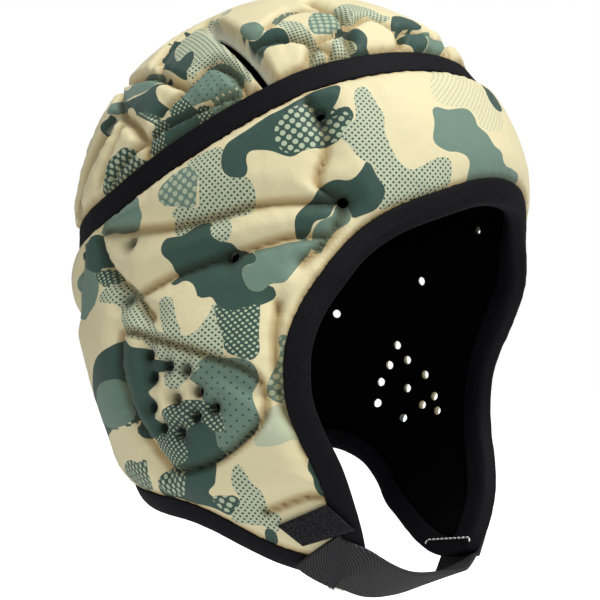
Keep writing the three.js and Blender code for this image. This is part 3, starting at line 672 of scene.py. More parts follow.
def dots(sheet, size, screen):
    """A screen of round dots: 1 on a dot. size is the cloth's size."""
    pitch, degrees, radius = screen
    cells = (size[0] / pitch, size[1] / pitch, 1)
    scaled = sheet.node("Mapping", Vector=sheet, Scale=cells)
    turned = scaled.node("Mapping", Vector=scaled, Rotation=(0, 0, math.radians(degrees)))
    cell = turned.vector("FRACTION").vector("SUBTRACT", (0.5, 0.5, 0))
    flat = cell.vector("MULTIPLY", (1, 1, 0))
    far = flat.vector("LENGTH", output="Value")
    return 1 - far.smooth(radius - DOT_SOFT, radius + DOT_SOFT)


def printed_cloth(name, size):
    """The print on one pad whose cloth is size wide and long, with painted shade in its folds and round
    its holes.
    """
    finish = Finish(name, 0.62)
    sheet = finish.sheet()
    fields = {kind: finish.painted(kind) for kind in FIELDS}
    inside = {kind: field.smooth(-EDGE_SOFT, EDGE_SOFT) for kind, field in fields.items()}
    spots = (dots(sheet, size, SPECK_SCREEN) * (1 - inside["mid"])
             + dots(sheet, size, SPARSE_SCREEN) * inside["mid"])
    shade = inside["sage"].tint(CREAM, SAGE)
    shade = inside["mid"].tint(shade, MID_GREEN)
    shade = (inside["specks"] * spots).tint(shade, DARK_GREEN)
    shade = inside["dark"].tint(shade, DARK_GREEN)
    shade = (inside["dots"] * dots(sheet, size, PALE_SCREEN)).tint(shade, PALE_DOT)
    shade = (inside["blobs"] * dots(sheet, size, BLOB_SCREEN)).tint(shade, PALE_DOT)
    # Painted shade: the colour turns a warmer, darker beige in the folds along the sewn lines
    fold = 1 - finish.painted("open").smooth(0.0, FOLD_WIDTH)
    shaded = shade.node("Mix", {"data_type": "RGBA", "blend_type": "MULTIPLY"}, output=2,
                        i0=1.0, i6=shade, i7=FOLD_SHADE)
    painted_fold_shade = (fold * FOLD_STRENGTH).tint(shade, shaded)
    # Painted shade: the colour darkens round every hole, in its dimple
    pit_shade = (finish.painted("pit_shade") * PIT_STRENGTH).tint(painted_fold_shade, PIT_SHADE)
    finish.set("Base Color", finish.painted("lip").tint(pit_shade, RIM_PALE))
    crumple = finish.bump(finish.grain(130.0, 3.0), 0.5 * MM)
    finish.bump(finish.grain(1400.0, 2.0), 0.12 * MM, crumple)
    finish.set("Sheen Weight", 0.12)
    return finish.material


# %% [markdown]
# The photograph shows where its patches lie. Each outline below is a few corners in the
# picture's pixels. A ray from the camera through each corner finds its place
# on the form, so the patches sit on the cap from every side.

# %% Patches of the print
MIDDLE_PIXEL = PICTURE / 2
INWARD_SHARES = np.linspace(0, 0.5, 26)
CLOTH_OUT = PAD * 0.9
CROWN_CLOTH_OUT = PAD + 1.8 * MM


def cloth_level(out):
    """The form at a height off the hollow, for the camera's rays to meet."""
    sheet, turns, ways = flat_grid(*LEVEL_CELLS)
    put(sheet.verts, point_down((turns * 2 - 1) * math.pi, ways * BOTTOM_WAY, out))
    tree = BVHTree.FromBMesh(sheet)
    sheet.free()
    return tree


body_level = cloth_level(CLOTH_OUT)
crown_level = cloth_level(CROWN_CLOTH_OUT)


def on_cap(pixel_x, pixel_y, level):
    """The place on the cloth under a pixel, moved in from outside the outline if need be."""
    for inward in INWARD_SHARES:
        x = pixel_x + (MIDDLE_PIXEL - pixel_x) * inward
        y = pixel_y + (MIDDLE_PIXEL - pixel_y) * inward
        ray = right * (x - MIDDLE_PIXEL) - up * (y - MIDDLE_PIXEL) - back * FOCAL_PIXELS
        found = level.ray_cast(eye, ray.normalized())[0]
        if found is not None:
            return found
    return None


FAR_FIELD = 12 * MM
COARSE = 4
CROWN_SHEET = 2 * 165 * MM
BODY_TOP_WAY = 62 * MM
BODY_GIRTH = 2 * math.pi * 92 * MM
BODY_SHEET = (BODY_GIRTH, BOTTOM_WAY - BODY_TOP_WAY)


def crown_flat(points):
    """Places on the crown's cloth, laid flat round the top of the head, in metres."""
    way, turn = way_and_turn(points, CLOTH_OUT)
    return np.column_stack([way * np.sin(turn), -way * np.cos(turn)])


def body_flat(points):
    """Places on the body's cloth, rolled out round the head, in metres."""
    way, turn = way_and_turn(points, CLOTH_OUT)
    return np.column_stack([turn / (2 * math.pi) * BODY_GIRTH, way])


def depth_inside(places, outline):
    """How far inside a closed outline flat places lie, less than 0 outside it."""
    depth = np.full(len(places), -1.0)
    low, high = outline.min(axis=0) - FAR_FIELD, outline.max(axis=0) + FAR_FIELD
    near = np.all((places > low) & (places < high), axis=1)
    spots = places[near]
    least = np.full(len(spots), np.inf)
    inside = np.zeros(len(spots), bool)
    for start, end in zip(outline, np.roll(outline, -1, axis=0)):
        edge = end - start
        share = np.clip(((spots - start) @ edge) / (edge @ edge + 1e-12), 0, 1)
        least = np.minimum(least, np.linalg.norm(spots - start - share[:, None] * edge, axis=1))
        if start[1] != end[1]:
            crossing = start[0] + (spots[:, 1] - start[1]) / (end[1] - start[1]) * edge[0]
            level = (start[1] > spots[:, 1]) != (end[1] > spots[:, 1])
            inside ^= level & (spots[:, 0] < crossing)
    depth[near] = np.where(inside, least, -least)
    return depth


KINDS = {"cream": (), "cream_dots": ("dots",), "pale": ("sage",), "sage": ("sage", "specks"),
         "mid": ("mid",), "mid_specks": ("mid", "specks"), "mid_blobs": ("mid", "blobs"),
         "dark": ("dark",), "dark_dots": ("dark", "dots"), "dark_blobs": ("dark", "blobs")}
WOBBLE = 1.6 * MM
WOBBLE_SCALE = 60
# The turns between which the photograph shows the cloth, and how softly that ends
SEEN_TURNS = (-0.86, 0.24)
SEEN_FADES = (0.1, 0.08)
# Noise scale, shift and threshold of each kind of patch on the hidden sides
HIDDEN_KINDS = {"sage": (26, 11.3, 0.12), "mid": (24, 23.9, 0.2), "dark": (22, 37.1, 0.06)}
HIDDEN_SCREENS = (19, 51.7)
BEND_SCALE, BEND_SHIFTS, BEND = 45, (3.1, 7.7, 1.9), 9 * MM
HIDDEN_SLOPE = 30 * MM


def wandering(points, scale, shift):
    """Slow noise over the cap, about -1 to 1."""
    where = Vector((shift, -shift, shift * 0.7))
    return np.array([noise.noise(Vector(place) * scale + where) for place in points])


def seen_on_right(points):
    """1 on the side that the photograph shows, 0 where it shows nothing."""
    turns = np.arctan2(points[:, 0] / HEAD_WIDTH, -points[:, 1] / HEAD_LENGTH) / math.pi
    start = np.clip((turns - SEEN_TURNS[0]) / SEEN_FADES[0], 0, 1)
    end = np.clip((SEEN_TURNS[1] - turns) / SEEN_FADES[1], 0, 1)
    return start * end


def hidden_print(points):
    """The print on the sides that the photograph doesn't show: patches from slow noise."""
    bend = np.column_stack([wandering(points, BEND_SCALE, shift) for shift in BEND_SHIFTS])
    bent = points + bend * BEND
    fields = {kind: wandering(bent, scale, shift) - least
              for kind, (scale, shift, least) in HIDDEN_KINDS.items()}
    fields["mid"] = np.minimum(fields["mid"], -fields["dark"])
    fields["sage"] = np.minimum(fields["sage"], -np.maximum(fields["dark"], fields["mid"]))
    screens = wandering(bent, *HIDDEN_SCREENS)
    fields["dots"] = np.minimum(np.maximum(fields["dark"], fields["mid"]), screens - 0.22)
    fields["blobs"] = np.minimum(fields["mid"], -0.3 - screens)
    fields["specks"] = np.maximum(fields["sage"], np.minimum(fields["mid"], -0.1 - np.abs(screens)))
    return {kind: np.clip(field * HIDDEN_SLOPE, -FAR_FIELD, FAR_FIELD) for kind, field in fields.items()}


def store(mesh, name, values):
    stored = mesh.attributes.new(name, "FLOAT", "POINT")
    stored.data.foreach_set("value", values.astype(np.float32))


def paint(mesh, flat, patches, level):
    """Stores the print's fields on the mesh, and gives its points."""
    points = np.empty(len(mesh.vertices) * 3)
    mesh.vertices.foreach_get("co", points)
    points = points.reshape(-1, 3)
    places = flat(points)
    wobble = np.column_stack([wandering(points, WOBBLE_SCALE, shift) for shift in (5.3, 9.1)]) * WOBBLE
    fields = {kind: np.full(len(points), -FAR_FIELD) for kind in FIELDS}
    for kind, *corners in patches:
        found = [on_cap(*corner, level) for corner in corners]
        outline = smooth_line(flat(np.array(found)), closed=True, spacing=1.5 * MM)[:-1]
        depth = depth_inside(places + wobble, outline)
        for name in FIELDS:
            if name in KINDS[kind]:
                fields[name] = np.maximum(fields[name], depth)
            else:
                fields[name] = np.minimum(fields[name], -depth)
    hidden = hidden_print(points)
    share = seen_on_right(points)
    for name in FIELDS:
        mixed = np.clip(fields[name], -FAR_FIELD, FAR_FIELD) * share + hidden[name] * (1 - share)
        store(mesh, name, mixed / MM)
    return points


def lay_print(mesh, shares, wraps):
    """Writes the flat places as the mesh's own map, without a jump where the cloth wraps round."""
    layer = mesh.uv_layers.new(name="print")
    corner_of = np.empty(len(mesh.loops), np.int32)
    mesh.loops.foreach_get("vertex_index", corner_of)
    starts = np.empty(len(mesh.polygons), np.int32)
    mesh.polygons.foreach_get("loop_start", starts)
    counts = np.empty(len(mesh.polygons), np.int32)
    mesh.polygons.foreach_get("loop_total", counts)
    laid = shares[corner_of]
    if wraps:
        low = np.repeat(np.minimum.reduceat(laid[:, 0], starts), counts)
        high = np.repeat(np.maximum.reduceat(laid[:, 0], starts), counts)
        across = (high - low > 0.5) & (laid[:, 0] < 0.5)
        laid[across, 0] += 1
    layer.data.foreach_set("uv", laid.astype(np.float32).ravel())


CROWN_PATCHES = [
    ("dark", (89, 150), (88, 135), (92, 122), (100, 110), (104, 109), (104, 118), (98, 130), (94, 157)),
    ("mid", (104, 110), (112, 98), (122, 88), (132, 78), (146, 73), (152, 76), (148, 86), (140, 92),
     (128, 96), (118, 104), (110, 112)),
    ("cream", (115, 92), (120, 84), (128, 80), (126, 88), (119, 92)),
    ("dark", (113, 112), (117, 104), (128, 98), (140, 93), (150, 84), (156, 78), (160, 80), (152, 88),
     (154, 95), (158, 104), (160, 112), (152, 118), (140, 112), (134, 116), (128, 107)),
    ("dark", (152, 66), (151, 58), (158, 52), (162, 42), (170, 35), (180, 31), (179, 38), (172, 46),
     (170, 56), (174, 61), (182, 54), (190, 49), (192, 53), (188, 64), (184, 77), (174, 76), (162, 71)),
    ("sage", (180, 36), (184, 26), (196, 27), (206, 26), (210, 40), (214, 56), (206, 62), (196, 66),
     (186, 76), (184, 72), (190, 60), (190, 50), (182, 54), (174, 60), (170, 56), (173, 46)),
    ("sage", (181, 30), (186, 18), (196, 8), (208, 6), (222, 8), (224, 12), (212, 16), (207, 24),
     (194, 27)),
    ("sage", (207, 28), (212, 26), (220, 36), (226, 50), (238, 62), (250, 76), (248, 82), (241, 76),
     (232, 68), (222, 62), (214, 58), (210, 44)),
    ("mid", (236, 30), (242, 23), (252, 20), (260, 22), (264, 30), (258, 37), (248, 38), (240, 35)),
    ("dark", (222, 32), (230, 31), (240, 35), (250, 39), (258, 37), (264, 34), (270, 38), (268, 46),
     (262, 52), (262, 66), (258, 68), (248, 58), (238, 48), (230, 40)),
    ("mid_specks", (170, 106), (172, 94), (180, 86), (190, 78), (198, 68), (208, 62), (220, 62),
     (230, 68), (240, 74), (242, 78), (236, 84), (220, 90), (204, 98), (190, 104), (176, 112)),
    ("dark_dots", (166, 110), (168, 100), (174, 94), (182, 98), (186, 104), (176, 110), (170, 114)),
    ("mid_specks", (204, 104), (214, 96), (228, 90), (238, 86), (237, 98), (230, 106), (214, 114),
     (204, 118)),
    ("dark_dots", (188, 108), (204, 104), (206, 114), (202, 124), (194, 130), (187, 124)),
    ("dark", (158, 118), (172, 112), (187, 108), (190, 126), (176, 138), (164, 146), (154, 152),
     (158, 136)),
    ("dark_dots", (130, 114), (140, 112), (152, 118), (158, 118), (158, 134), (154, 150), (144, 156),
     (138, 152), (141, 134), (148, 126), (140, 120)),
    ("dark_blobs", (92, 196), (96, 182), (102, 166), (110, 156), (118, 147), (124, 150), (130, 160),
     (138, 163), (136, 172), (120, 184), (104, 196), (96, 204)),
    ("dark", (256, 42), (260, 36), (270, 28), (280, 27), (288, 32), (290, 40), (280, 43), (266, 46)),
    ("mid", (270, 22), (276, 12), (290, 7), (302, 6), (290, 12), (280, 16), (274, 23)),
    ("mid_blobs", (310, 14), (322, 9), (336, 9), (346, 16), (350, 24), (340, 30), (326, 31), (312, 30)),
    ("sage", (276, 22), (296, 20), (310, 30), (318, 40), (326, 50), (328, 62), (326, 70), (314, 70),
     (310, 58), (308, 46), (300, 40), (290, 40), (286, 30)),
    ("dark", (336, 32), (342, 26), (352, 24), (362, 28), (370, 34), (374, 48), (384, 54), (384, 60),
     (366, 62), (354, 64), (354, 54), (362, 48), (360, 40), (350, 34), (340, 36)),
    ("sage", (336, 36), (348, 34), (358, 38), (362, 46), (356, 54), (350, 60), (340, 66), (334, 70),
     (330, 60), (333, 48)),
    ("sage", (340, 8), (352, 2), (366, 4), (384, 12), (396, 16), (392, 20), (372, 14), (358, 22),
     (350, 18)),
    ("dark", (398, 16), (410, 16), (424, 22), (430, 28), (418, 28), (404, 28), (400, 22)),
    ("dark", (411, 34), (420, 32), (430, 34), (436, 44), (436, 62), (428, 62), (430, 50), (424, 44),
     (412, 40)),
    ("mid", (432, 32), (440, 32), (450, 42), (455, 56), (454, 70), (440, 66), (437, 46)),
]
BODY_PATCHES = [
    ("mid", (96, 240), (102, 222), (138, 198), (142, 214), (136, 224), (118, 232), (104, 233)),
    ("dark", (80, 252), (86, 244), (95, 234), (104, 254), (107, 266), (100, 268), (97, 274), (88, 270),
     (80, 262)),
    ("mid", (74, 270), (80, 262), (90, 270), (97, 276), (100, 290), (98, 302), (92, 312), (88, 320),
     (80, 314), (75, 300), (72, 284)),
    ("dark_dots", (96, 276), (104, 270), (112, 274), (116, 282), (110, 288), (102, 286)),
    ("sage", (186, 164), (206, 152), (222, 147), (225, 160), (224, 175), (246, 178), (253, 192),
     (249, 214), (232, 217), (205, 221), (178, 225), (170, 218), (178, 209), (198, 206), (199, 178)),
    ("mid_blobs", (161, 186), (176, 172), (190, 168), (198, 176), (198, 196), (196, 206), (180, 208),
     (166, 207), (160, 198)),
    ("dark", (226, 143), (262, 120), (300, 98), (322, 89), (340, 86), (338, 98), (329, 116),
     (338, 109), (347, 108), (353, 116), (344, 128), (339, 141), (330, 147), (318, 149), (311, 145),
     (300, 152), (292, 156), (270, 152), (247, 152), (245, 160), (247, 172), (243, 179), (228, 177),
     (223, 165)),
    ("dark_blobs", (274, 128), (284, 112), (300, 104), (314, 104), (318, 118), (330, 118), (345, 112),
     (350, 120), (340, 140), (322, 146), (300, 150), (286, 152), (276, 142)),
    ("sage", (355, 94), (366, 87), (376, 100), (383, 114), (384, 134), (391, 150), (400, 164),
     (410, 170), (425, 163), (437, 157), (448, 160), (449, 192), (420, 198), (396, 205), (380, 210),
     (376, 201), (382, 192), (374, 180), (371, 168), (358, 159), (350, 146), (341, 138), (345, 126),
     (355, 118)),
    ("dark", (366, 162), (374, 178), (383, 190), (377, 209), (362, 216), (352, 219), (350, 206),
     (340, 204), (334, 214), (330, 219), (316, 222), (310, 232), (297, 240), (293, 228), (295, 214),
     (304, 206), (314, 200), (318, 190), (332, 181), (348, 180), (358, 172)),
    ("mid", (340, 206), (351, 206), (353, 220), (338, 232), (326, 244), (318, 254), (312, 244),
     (314, 230), (322, 222), (334, 217)),
    ("cream_dots", (430, 76), (440, 70), (458, 74), (474, 84), (484, 92), (496, 106), (500, 118),
     (500, 128), (486, 130), (478, 126), (472, 112), (456, 108), (440, 104), (432, 96)),
    ("mid", (429, 110), (434, 107), (446, 110), (468, 111), (473, 118), (475, 126), (484, 134),
     (490, 144), (498, 150), (502, 160), (512, 168), (520, 176), (522, 188), (510, 190), (496, 190),
     (478, 188), (471, 178), (470, 164), (466, 158), (456, 153), (448, 152), (438, 146), (432, 140),
     (431, 124)),
    ("dark", (482, 86), (488, 90), (498, 106), (500, 112), (494, 110), (486, 98)),
    ("dark", (163, 240), (170, 238), (184, 232), (200, 223), (209, 222), (212, 234), (222, 240),
     (231, 242), (234, 248), (244, 249), (243, 252), (215, 262), (190, 272), (176, 280), (173, 270),
     (172, 262), (164, 255), (161, 247)),
    ("sage", (170, 224), (186, 222), (198, 221), (188, 231), (178, 237), (170, 235), (167, 230)),
    ("sage", (210, 221), (222, 219), (230, 221), (231, 231), (224, 241), (212, 236), (208, 228)),
    ("dark", (168, 283), (182, 275), (210, 264), (238, 254), (252, 250), (258, 256), (257, 262),
     (247, 266), (246, 278), (250, 288), (260, 291), (272, 284), (276, 296), (262, 304), (246, 305),
     (236, 308), (226, 309), (214, 302), (214, 297), (200, 298), (198, 290), (194, 283), (186, 281),
     (174, 287)),
    ("mid", (250, 250), (262, 246), (276, 243), (288, 240), (296, 240), (306, 236), (310, 246),
     (300, 262), (292, 275), (286, 282), (272, 284), (262, 291), (250, 289), (245, 278), (246, 267),
     (257, 262), (256, 254)),
    ("sage", (101, 300), (104, 290), (118, 282), (134, 290), (138, 302), (146, 318), (152, 326),
     (160, 334), (176, 338), (188, 336), (198, 329), (203, 322), (210, 312), (213, 302), (220, 306),
     (224, 320), (224, 345), (222, 360), (214, 366), (204, 356), (196, 364), (190, 372), (178, 376),
     (172, 372), (166, 366), (150, 354), (140, 342), (128, 338), (122, 330), (122, 318), (118, 308)),
    ("sage", (160, 300), (174, 300), (178, 318), (182, 336), (172, 340), (160, 322)),
    ("dark_dots", (214, 303), (222, 308), (236, 309), (246, 306), (258, 303), (260, 320), (259, 340),
     (258, 352), (250, 360), (238, 356), (226, 350), (224, 335), (216, 318)),
    ("mid_blobs", (278, 336), (284, 332), (292, 340), (292, 370), (295, 392), (298, 402), (286, 404),
     (276, 400), (268, 392), (268, 380), (274, 366), (279, 352)),
    ("pale", (268, 410), (276, 404), (286, 404), (298, 404), (304, 414), (310, 428), (314, 440),
     (318, 450), (308, 450), (298, 440), (290, 440), (276, 446), (262, 446), (254, 442), (260, 430),
     (266, 420)),
    ("mid_specks", (196, 364), (206, 356), (220, 358), (236, 357), (250, 361), (257, 373), (258, 383),
     (254, 392), (258, 405), (262, 415), (258, 430), (246, 440), (234, 450), (222, 456), (212, 446),
     (206, 430), (200, 420), (196, 398), (190, 384), (184, 376)),
    ("dark", (96, 372), (100, 358), (108, 348), (116, 341), (124, 340), (130, 347), (146, 352),
     (150, 360), (164, 362), (168, 370), (156, 374), (152, 386), (148, 396), (151, 405), (152, 416),
     (156, 424), (164, 428), (160, 434), (150, 438), (138, 436), (133, 428), (134, 416), (128, 424),
     (118, 428), (112, 433), (108, 440), (102, 428), (98, 400)),
    ("mid", (103, 386), (115, 380), (120, 386), (124, 400), (128, 412), (127, 420), (118, 426),
     (108, 424), (102, 412), (100, 396)),
    ("sage", (162, 372), (176, 366), (190, 362), (198, 368), (186, 378), (178, 388), (168, 390),
     (164, 382)),
    ("dark", (190, 424), (204, 424), (214, 432), (216, 444), (224, 454), (214, 462), (200, 466),
     (180, 468), (184, 440)),
    ("dark_dots", (163, 412), (172, 404), (186, 402), (200, 404), (214, 410), (222, 420), (224, 430),
     (216, 432), (204, 426), (194, 422), (188, 428), (184, 440), (190, 452), (186, 462), (174, 467),
     (166, 462), (158, 450), (152, 440), (154, 436), (164, 430), (160, 420)),
    ("dark_blobs", (128, 466), (132, 462), (140, 464), (147, 460), (150, 472), (152, 484), (146, 490),
     (140, 490), (132, 482), (128, 474)),
    ("dark", (168, 470), (186, 466), (204, 464), (214, 462), (216, 476), (216, 484), (210, 492),
     (212, 498), (224, 497), (236, 494), (240, 500), (238, 510), (230, 516), (216, 511), (196, 505),
     (176, 499), (158, 495), (158, 488), (166, 478)),
    ("dark_blobs", (166, 474), (184, 468), (188, 480), (184, 496), (170, 496), (160, 490)),
    ("dark_blobs", (212, 499), (236, 496), (236, 510), (224, 512)),
    ("sage", (232, 468), (238, 463), (246, 472), (254, 484), (262, 492), (264, 504), (268, 512),
     (280, 516), (282, 524), (276, 536), (270, 536), (262, 526), (256, 526), (246, 524), (234, 522),
     (230, 518), (238, 506), (240, 496), (236, 488), (232, 480)),
    ("dark", (266, 530), (274, 532), (277, 546), (268, 548)),
    ("dark", (312, 452), (322, 450), (328, 462), (334, 476), (340, 488), (344, 498), (330, 500),
     (318, 496), (314, 488), (313, 478), (308, 470), (309, 458)),
]

# %% [markdown]
# A quilted pad is thin at every sewn line and swells between them. Near a line the swelling
# is a quarter of a circle, which gives the sharp crease and the full pillow of real quilting.
# Small puckers run out from the stitches, because the cloth is gathered there.

# %% The pads
CELL = 1.5 * MM
PILLOW = 14 * MM
SEAM_FLOOR = 2.8 * MM
CROWN_SEAM_FLOOR = 2.0 * MM
EAR_RISE = 5.0 * MM
CROWN_RISE_MORE = 2.5 * MM
SLIT_RISE = 1 * MM
SLIT_REACH = PILLOW * 0.6
RIM_FLOOR = SEAM_FLOOR + 1.5 * MM
RIDGE_WIDTH = 4 * MM
INNER_OUT = 0.3 * MM
PUCKER = 0.55 * MM
PUCKER_REACH = 7 * MM
PUCKER_PITCH = 3.2 * MM
PUCKER_LENGTH = 9 * MM
PUCKER_START = 1.5 * MM
RING_PUCKER = 1.8
LUMP = 1.1 * MM
DIMPLE = 5.0 * MM
DIMPLE_DEPTH = 5.0 * MM
PIT = 3.6 * MM
LIP = 0.9 * MM


def swell(distance, reach):
    """0 on a sewn line, 1 at reach from it, rising as a quarter of a circle."""
    part = np.clip(distance / reach, 0, 1)
    return np.sqrt(1 - (1 - part) ** 2)


def pillow(floor, top, distance, reach):
    return floor + (top - floor) * swell(distance, reach)


def puckers(distance, along):
    """Small folds that run out from a sewn line and fade away from it."""
    wave = np.array([noise.noise(Vector((way / PUCKER_PITCH, gap / PUCKER_LENGTH, 0.3)))
                     for way, gap in zip(along, distance)])
    fade = np.exp(-distance / PUCKER_REACH) * np.clip(distance / PUCKER_START, 0, 1)
    return PUCKER * 2 * wave * fade


def inside_ear(points):
    """Whether points lie inside an ear pad's outline, seen from the side."""
    inside = np.zeros(len(points), bool)
    for side in (-1, 1):
        outline = line_on_form(EAR_PAD, side, closed=True)[:, 1:]
        inside |= (depth_inside(points[:, 1:], outline[::COARSE]) > 0) & (points[:, 0] * side > 0)
    return inside


def dimples(points, thick):
    """Presses the cloth down round every hole."""
    distance, _ = hole_rims.near(raised(points))
    return thick - np.minimum(DIMPLE_DEPTH, thick * 0.5) * np.exp(-(distance / DIMPLE) ** 2)


RIGHT_SEAT = [(0.425, 0.86), (0.31, 0.84), (0.29, 0.96), (0.41, 0.95)]
LEFT_SEAT = [(0.39, 0.87), (0.29, 0.87), (0.275, 0.965), (0.38, 0.96)]
SEAT_MARGIN = 9 * MM


def pressed(points):
    """1 where the tab or the strap lies on the cloth, 0 away from them."""
    press = np.zeros(len(points))
    flat_places = body_flat(points)
    for corners, side in ((RIGHT_SEAT, -1), (LEFT_SEAT, 1)):
        depth = depth_inside(flat_places, body_flat(places_at(corners, side, PAD)))
        share = np.clip(depth / SEAT_MARGIN + 1, 0, 1)
        press = np.maximum(press, share * share * (3 - 2 * share))
    return press


def body_thickness(points):
    """Thickness of the body's pad, and how open the cloth lies there, from 0 in a fold."""
    places = raised(points)
    channel, along = body_lines.near(places)
    ring, ring_along = ring_line.near(places)
    edge, edge_along = edge_line.near(places)
    ring -= RING_TAPE_WIDTH / 2
    edge -= EDGE_TAPE_WIDTH
    rim, _ = ear_rims.near(places)
    ridge, _ = ear_ridges.near(places)
    ear = inside_ear(places)
    thick = np.where(ear, pillow(PAD - 1 * MM, PAD + EAR_RISE, rim, PILLOW * 1.5), PAD)
    thick = np.minimum(thick, pillow(SEAM_FLOOR, PAD, channel, PILLOW))
    thick = np.minimum(thick, pillow(RIM_FLOOR, PAD + EAR_RISE, rim, PILLOW))
    thick -= np.where(ear, EAR_RISE / 2 * np.exp(-(ridge / RIDGE_WIDTH) ** 2), 0)
    thick = np.minimum(thick, pillow(EDGE_PAD, PAD, np.minimum(ring, edge), PILLOW))
    sewn = np.min([channel, rim, ring, edge], axis=0)
    thick += puckers(channel, along)
    thick += puckers(np.maximum(ring, 0), ring_along)
    thick += puckers(np.maximum(edge, 0), edge_along)
    thick += wandering(places, 38, 2.7) * LUMP * np.clip(sewn / PILLOW, 0, 1)
    press = pressed(places)
    thick += (np.minimum(thick, TAPE_TOP) - thick) * press
    return dimples(places, thick), sewn


def crown_thickness(points):
    """The same for the crown's pad, which also thins out towards its slits."""
    places = raised(points)
    channel, along = crown_lines.near(places)
    ring, ring_along = ring_line.near(places)
    ring -= RING_TAPE_WIDTH / 2
    thick = pillow(CROWN_SEAM_FLOOR, PAD + CROWN_RISE_MORE, channel, PILLOW)
    thick = np.minimum(thick, pillow(EDGE_PAD, PAD, ring, PILLOW))
    sewn = np.minimum(channel, ring)
    for lines, half in slit_lines:
        slit, _ = lines.near(places)
        gap = np.maximum(slit - half, 0)
        thick = np.minimum(thick, pillow(CROWN_SEAM_FLOOR, PAD + SLIT_RISE, gap, SLIT_REACH))
        sewn = np.minimum(sewn, gap)
    thick += puckers(channel, along)
    thick += puckers(np.maximum(ring, 0), ring_along) * RING_PUCKER
    thick += wandering(places, 42, 4.4) * LUMP * np.clip(sewn / PILLOW, 0, 1)
    return thick, sewn


def above_ring(turns, ways):
    """Whether places lie above the ring seam, by its way down at each turn."""
    seam_ways, seam_turns = way_and_turn(ring_loop, EDGE_PAD)
    order = np.argsort(seam_turns)
    seam = np.interp(turns, seam_turns[order], seam_ways[order], period=2 * math.pi)
    return ways < seam


edge_ways, edge_turns = way_and_turn(edge_loop, EDGE_PAD / 2)
nape = int(np.argmax(edge_turns))
edge_outline = np.roll(np.column_stack([edge_turns, edge_ways]), -nape, axis=0)[::COARSE]
# Past the last turn and far below the edge, so that the outline closes round all that is cut off
PAST = math.pi * 1.01
BELOW = 1
beyond_outline = np.vstack([edge_outline, [[-PAST, edge_ways[nape]], [-PAST, BELOW],
                                           [PAST, BELOW], [PAST, edge_ways[nape]]]])


def beyond_edge(turns, ways):
    """Whether places lie past the free edge, in the face opening or below the neck."""
    inside = np.zeros(len(turns), bool)
    for (turn_a, way_a), (turn_b, way_b) in zip(beyond_outline, np.roll(beyond_outline, -1, axis=0)):
        if way_a == way_b:
            continue
        crossing = turn_a + (ways - way_a) / (way_b - way_a) * (turn_b - turn_a)
        inside ^= ((way_a > ways) != (way_b > ways)) & (turns < crossing)
    return inside


def close_wall(sheet, inner_out):
    """Gives the outer skin an inner wall that lies on the form, joined round every rim."""
    sheet.normal_update()
    made = bmesh.ops.extrude_face_region(sheet, geom=list(sheet.faces))
    inner = [item for item in made["geom"] if isinstance(item, bmesh.types.BMVert)]
    put(inner, settle(np.array([corner.co for corner in inner]), inner_out))
    bmesh.ops.recalc_face_normals(sheet, faces=list(sheet.faces))


def hole_cutter(radii):
    """Round posts through every hole, as one cutting object."""
    posts = bmesh.new()
    for place, way, radius in zip(hole_places, hole_ways, radii):
        turn = Vector(way).to_track_quat("Z", "Y").to_matrix().to_4x4()
        middle = Matrix.Translation(Vector(place) + Vector(way) * PAD / 2)
        bmesh.ops.create_cone(posts, cap_ends=True, segments=HOLE_SIDES, radius1=radius, radius2=radius,
                              depth=3 * PAD, matrix=middle @ turn)
    mesh = bpy.data.meshes.new("posts")
    posts.to_mesh(mesh)
    posts.free()
    cutter = bpy.data.objects.new("posts", mesh)
    bpy.context.scene.collection.objects.link(cutter)
    return cutter


def cut_holes(piece, radii):
    cutter = hole_cutter(radii)
    applied(piece, "BOOLEAN", operation="DIFFERENCE", solver="MANIFOLD", object=cutter)
    mesh = cutter.data
    bpy.data.objects.remove(cutter)
    bpy.data.meshes.remove(mesh)
    piece.data.shade_smooth()


def body_skin():
    """The body's outer cloth, from the ring seam to the free edge."""
    columns, rows = round(BODY_GIRTH / CELL), round(BODY_SHEET[1] / CELL)
    sheet, across, down = flat_grid(columns, rows)
    turns = (across * 2 - 1) * math.pi
    ways = BODY_TOP_WAY + down * BODY_SHEET[1]
    keep = ~above_ring(turns, ways) & ~beyond_edge(turns, ways)
    left = keep_corners(sheet, keep)
    turns, ways = turns[left], ways[left]
    flat = point_down(turns, ways, PAD)
    thick, _ = body_thickness(flat)
    put(sheet.verts, settle(flat, thick))
    bmesh.ops.remove_doubles(sheet, verts=list(sheet.verts), dist=BODY_WELD)
    return sheet


def off_slits(places):
    """Whether places lie off the open slits of the crown."""
    return np.all([lines.near(places)[0] >= half * SLIT_CUT for lines, half in slit_lines], axis=0)


def crown_skin():
    """The crown's outer cloth, laid round the top of the head."""
    cells = round(CROWN_SHEET / CELL)
    sheet, across, along = flat_grid(cells, cells)
    x, y = (across - 0.5) * CROWN_SHEET, (along - 0.5) * CROWN_SHEET
    ways, turns = np.hypot(x, y), np.arctan2(x, -y)
    flat = point_down(turns, ways, PAD)
    flat = flat[keep_corners(sheet, above_ring(turns, ways) & off_slits(flat))]
    rim = np.array([corner.is_boundary for corner in sheet.verts])
    for lines, half in slit_lines:
        cut = half * SLIT_CUT
        gap, way = lines.near(flat)
        middle = lines.points[np.rint(way / LINE_SPACING).astype(int)]
        snapped = middle + (flat - middle) * (cut / gap)[:, None]
        lip = rim & (gap < cut + 2 * CELL)
        flat[lip] = snapped[lip]
    thick, _ = crown_thickness(flat)
    put(sheet.verts, settle(flat, thick))
    return sheet


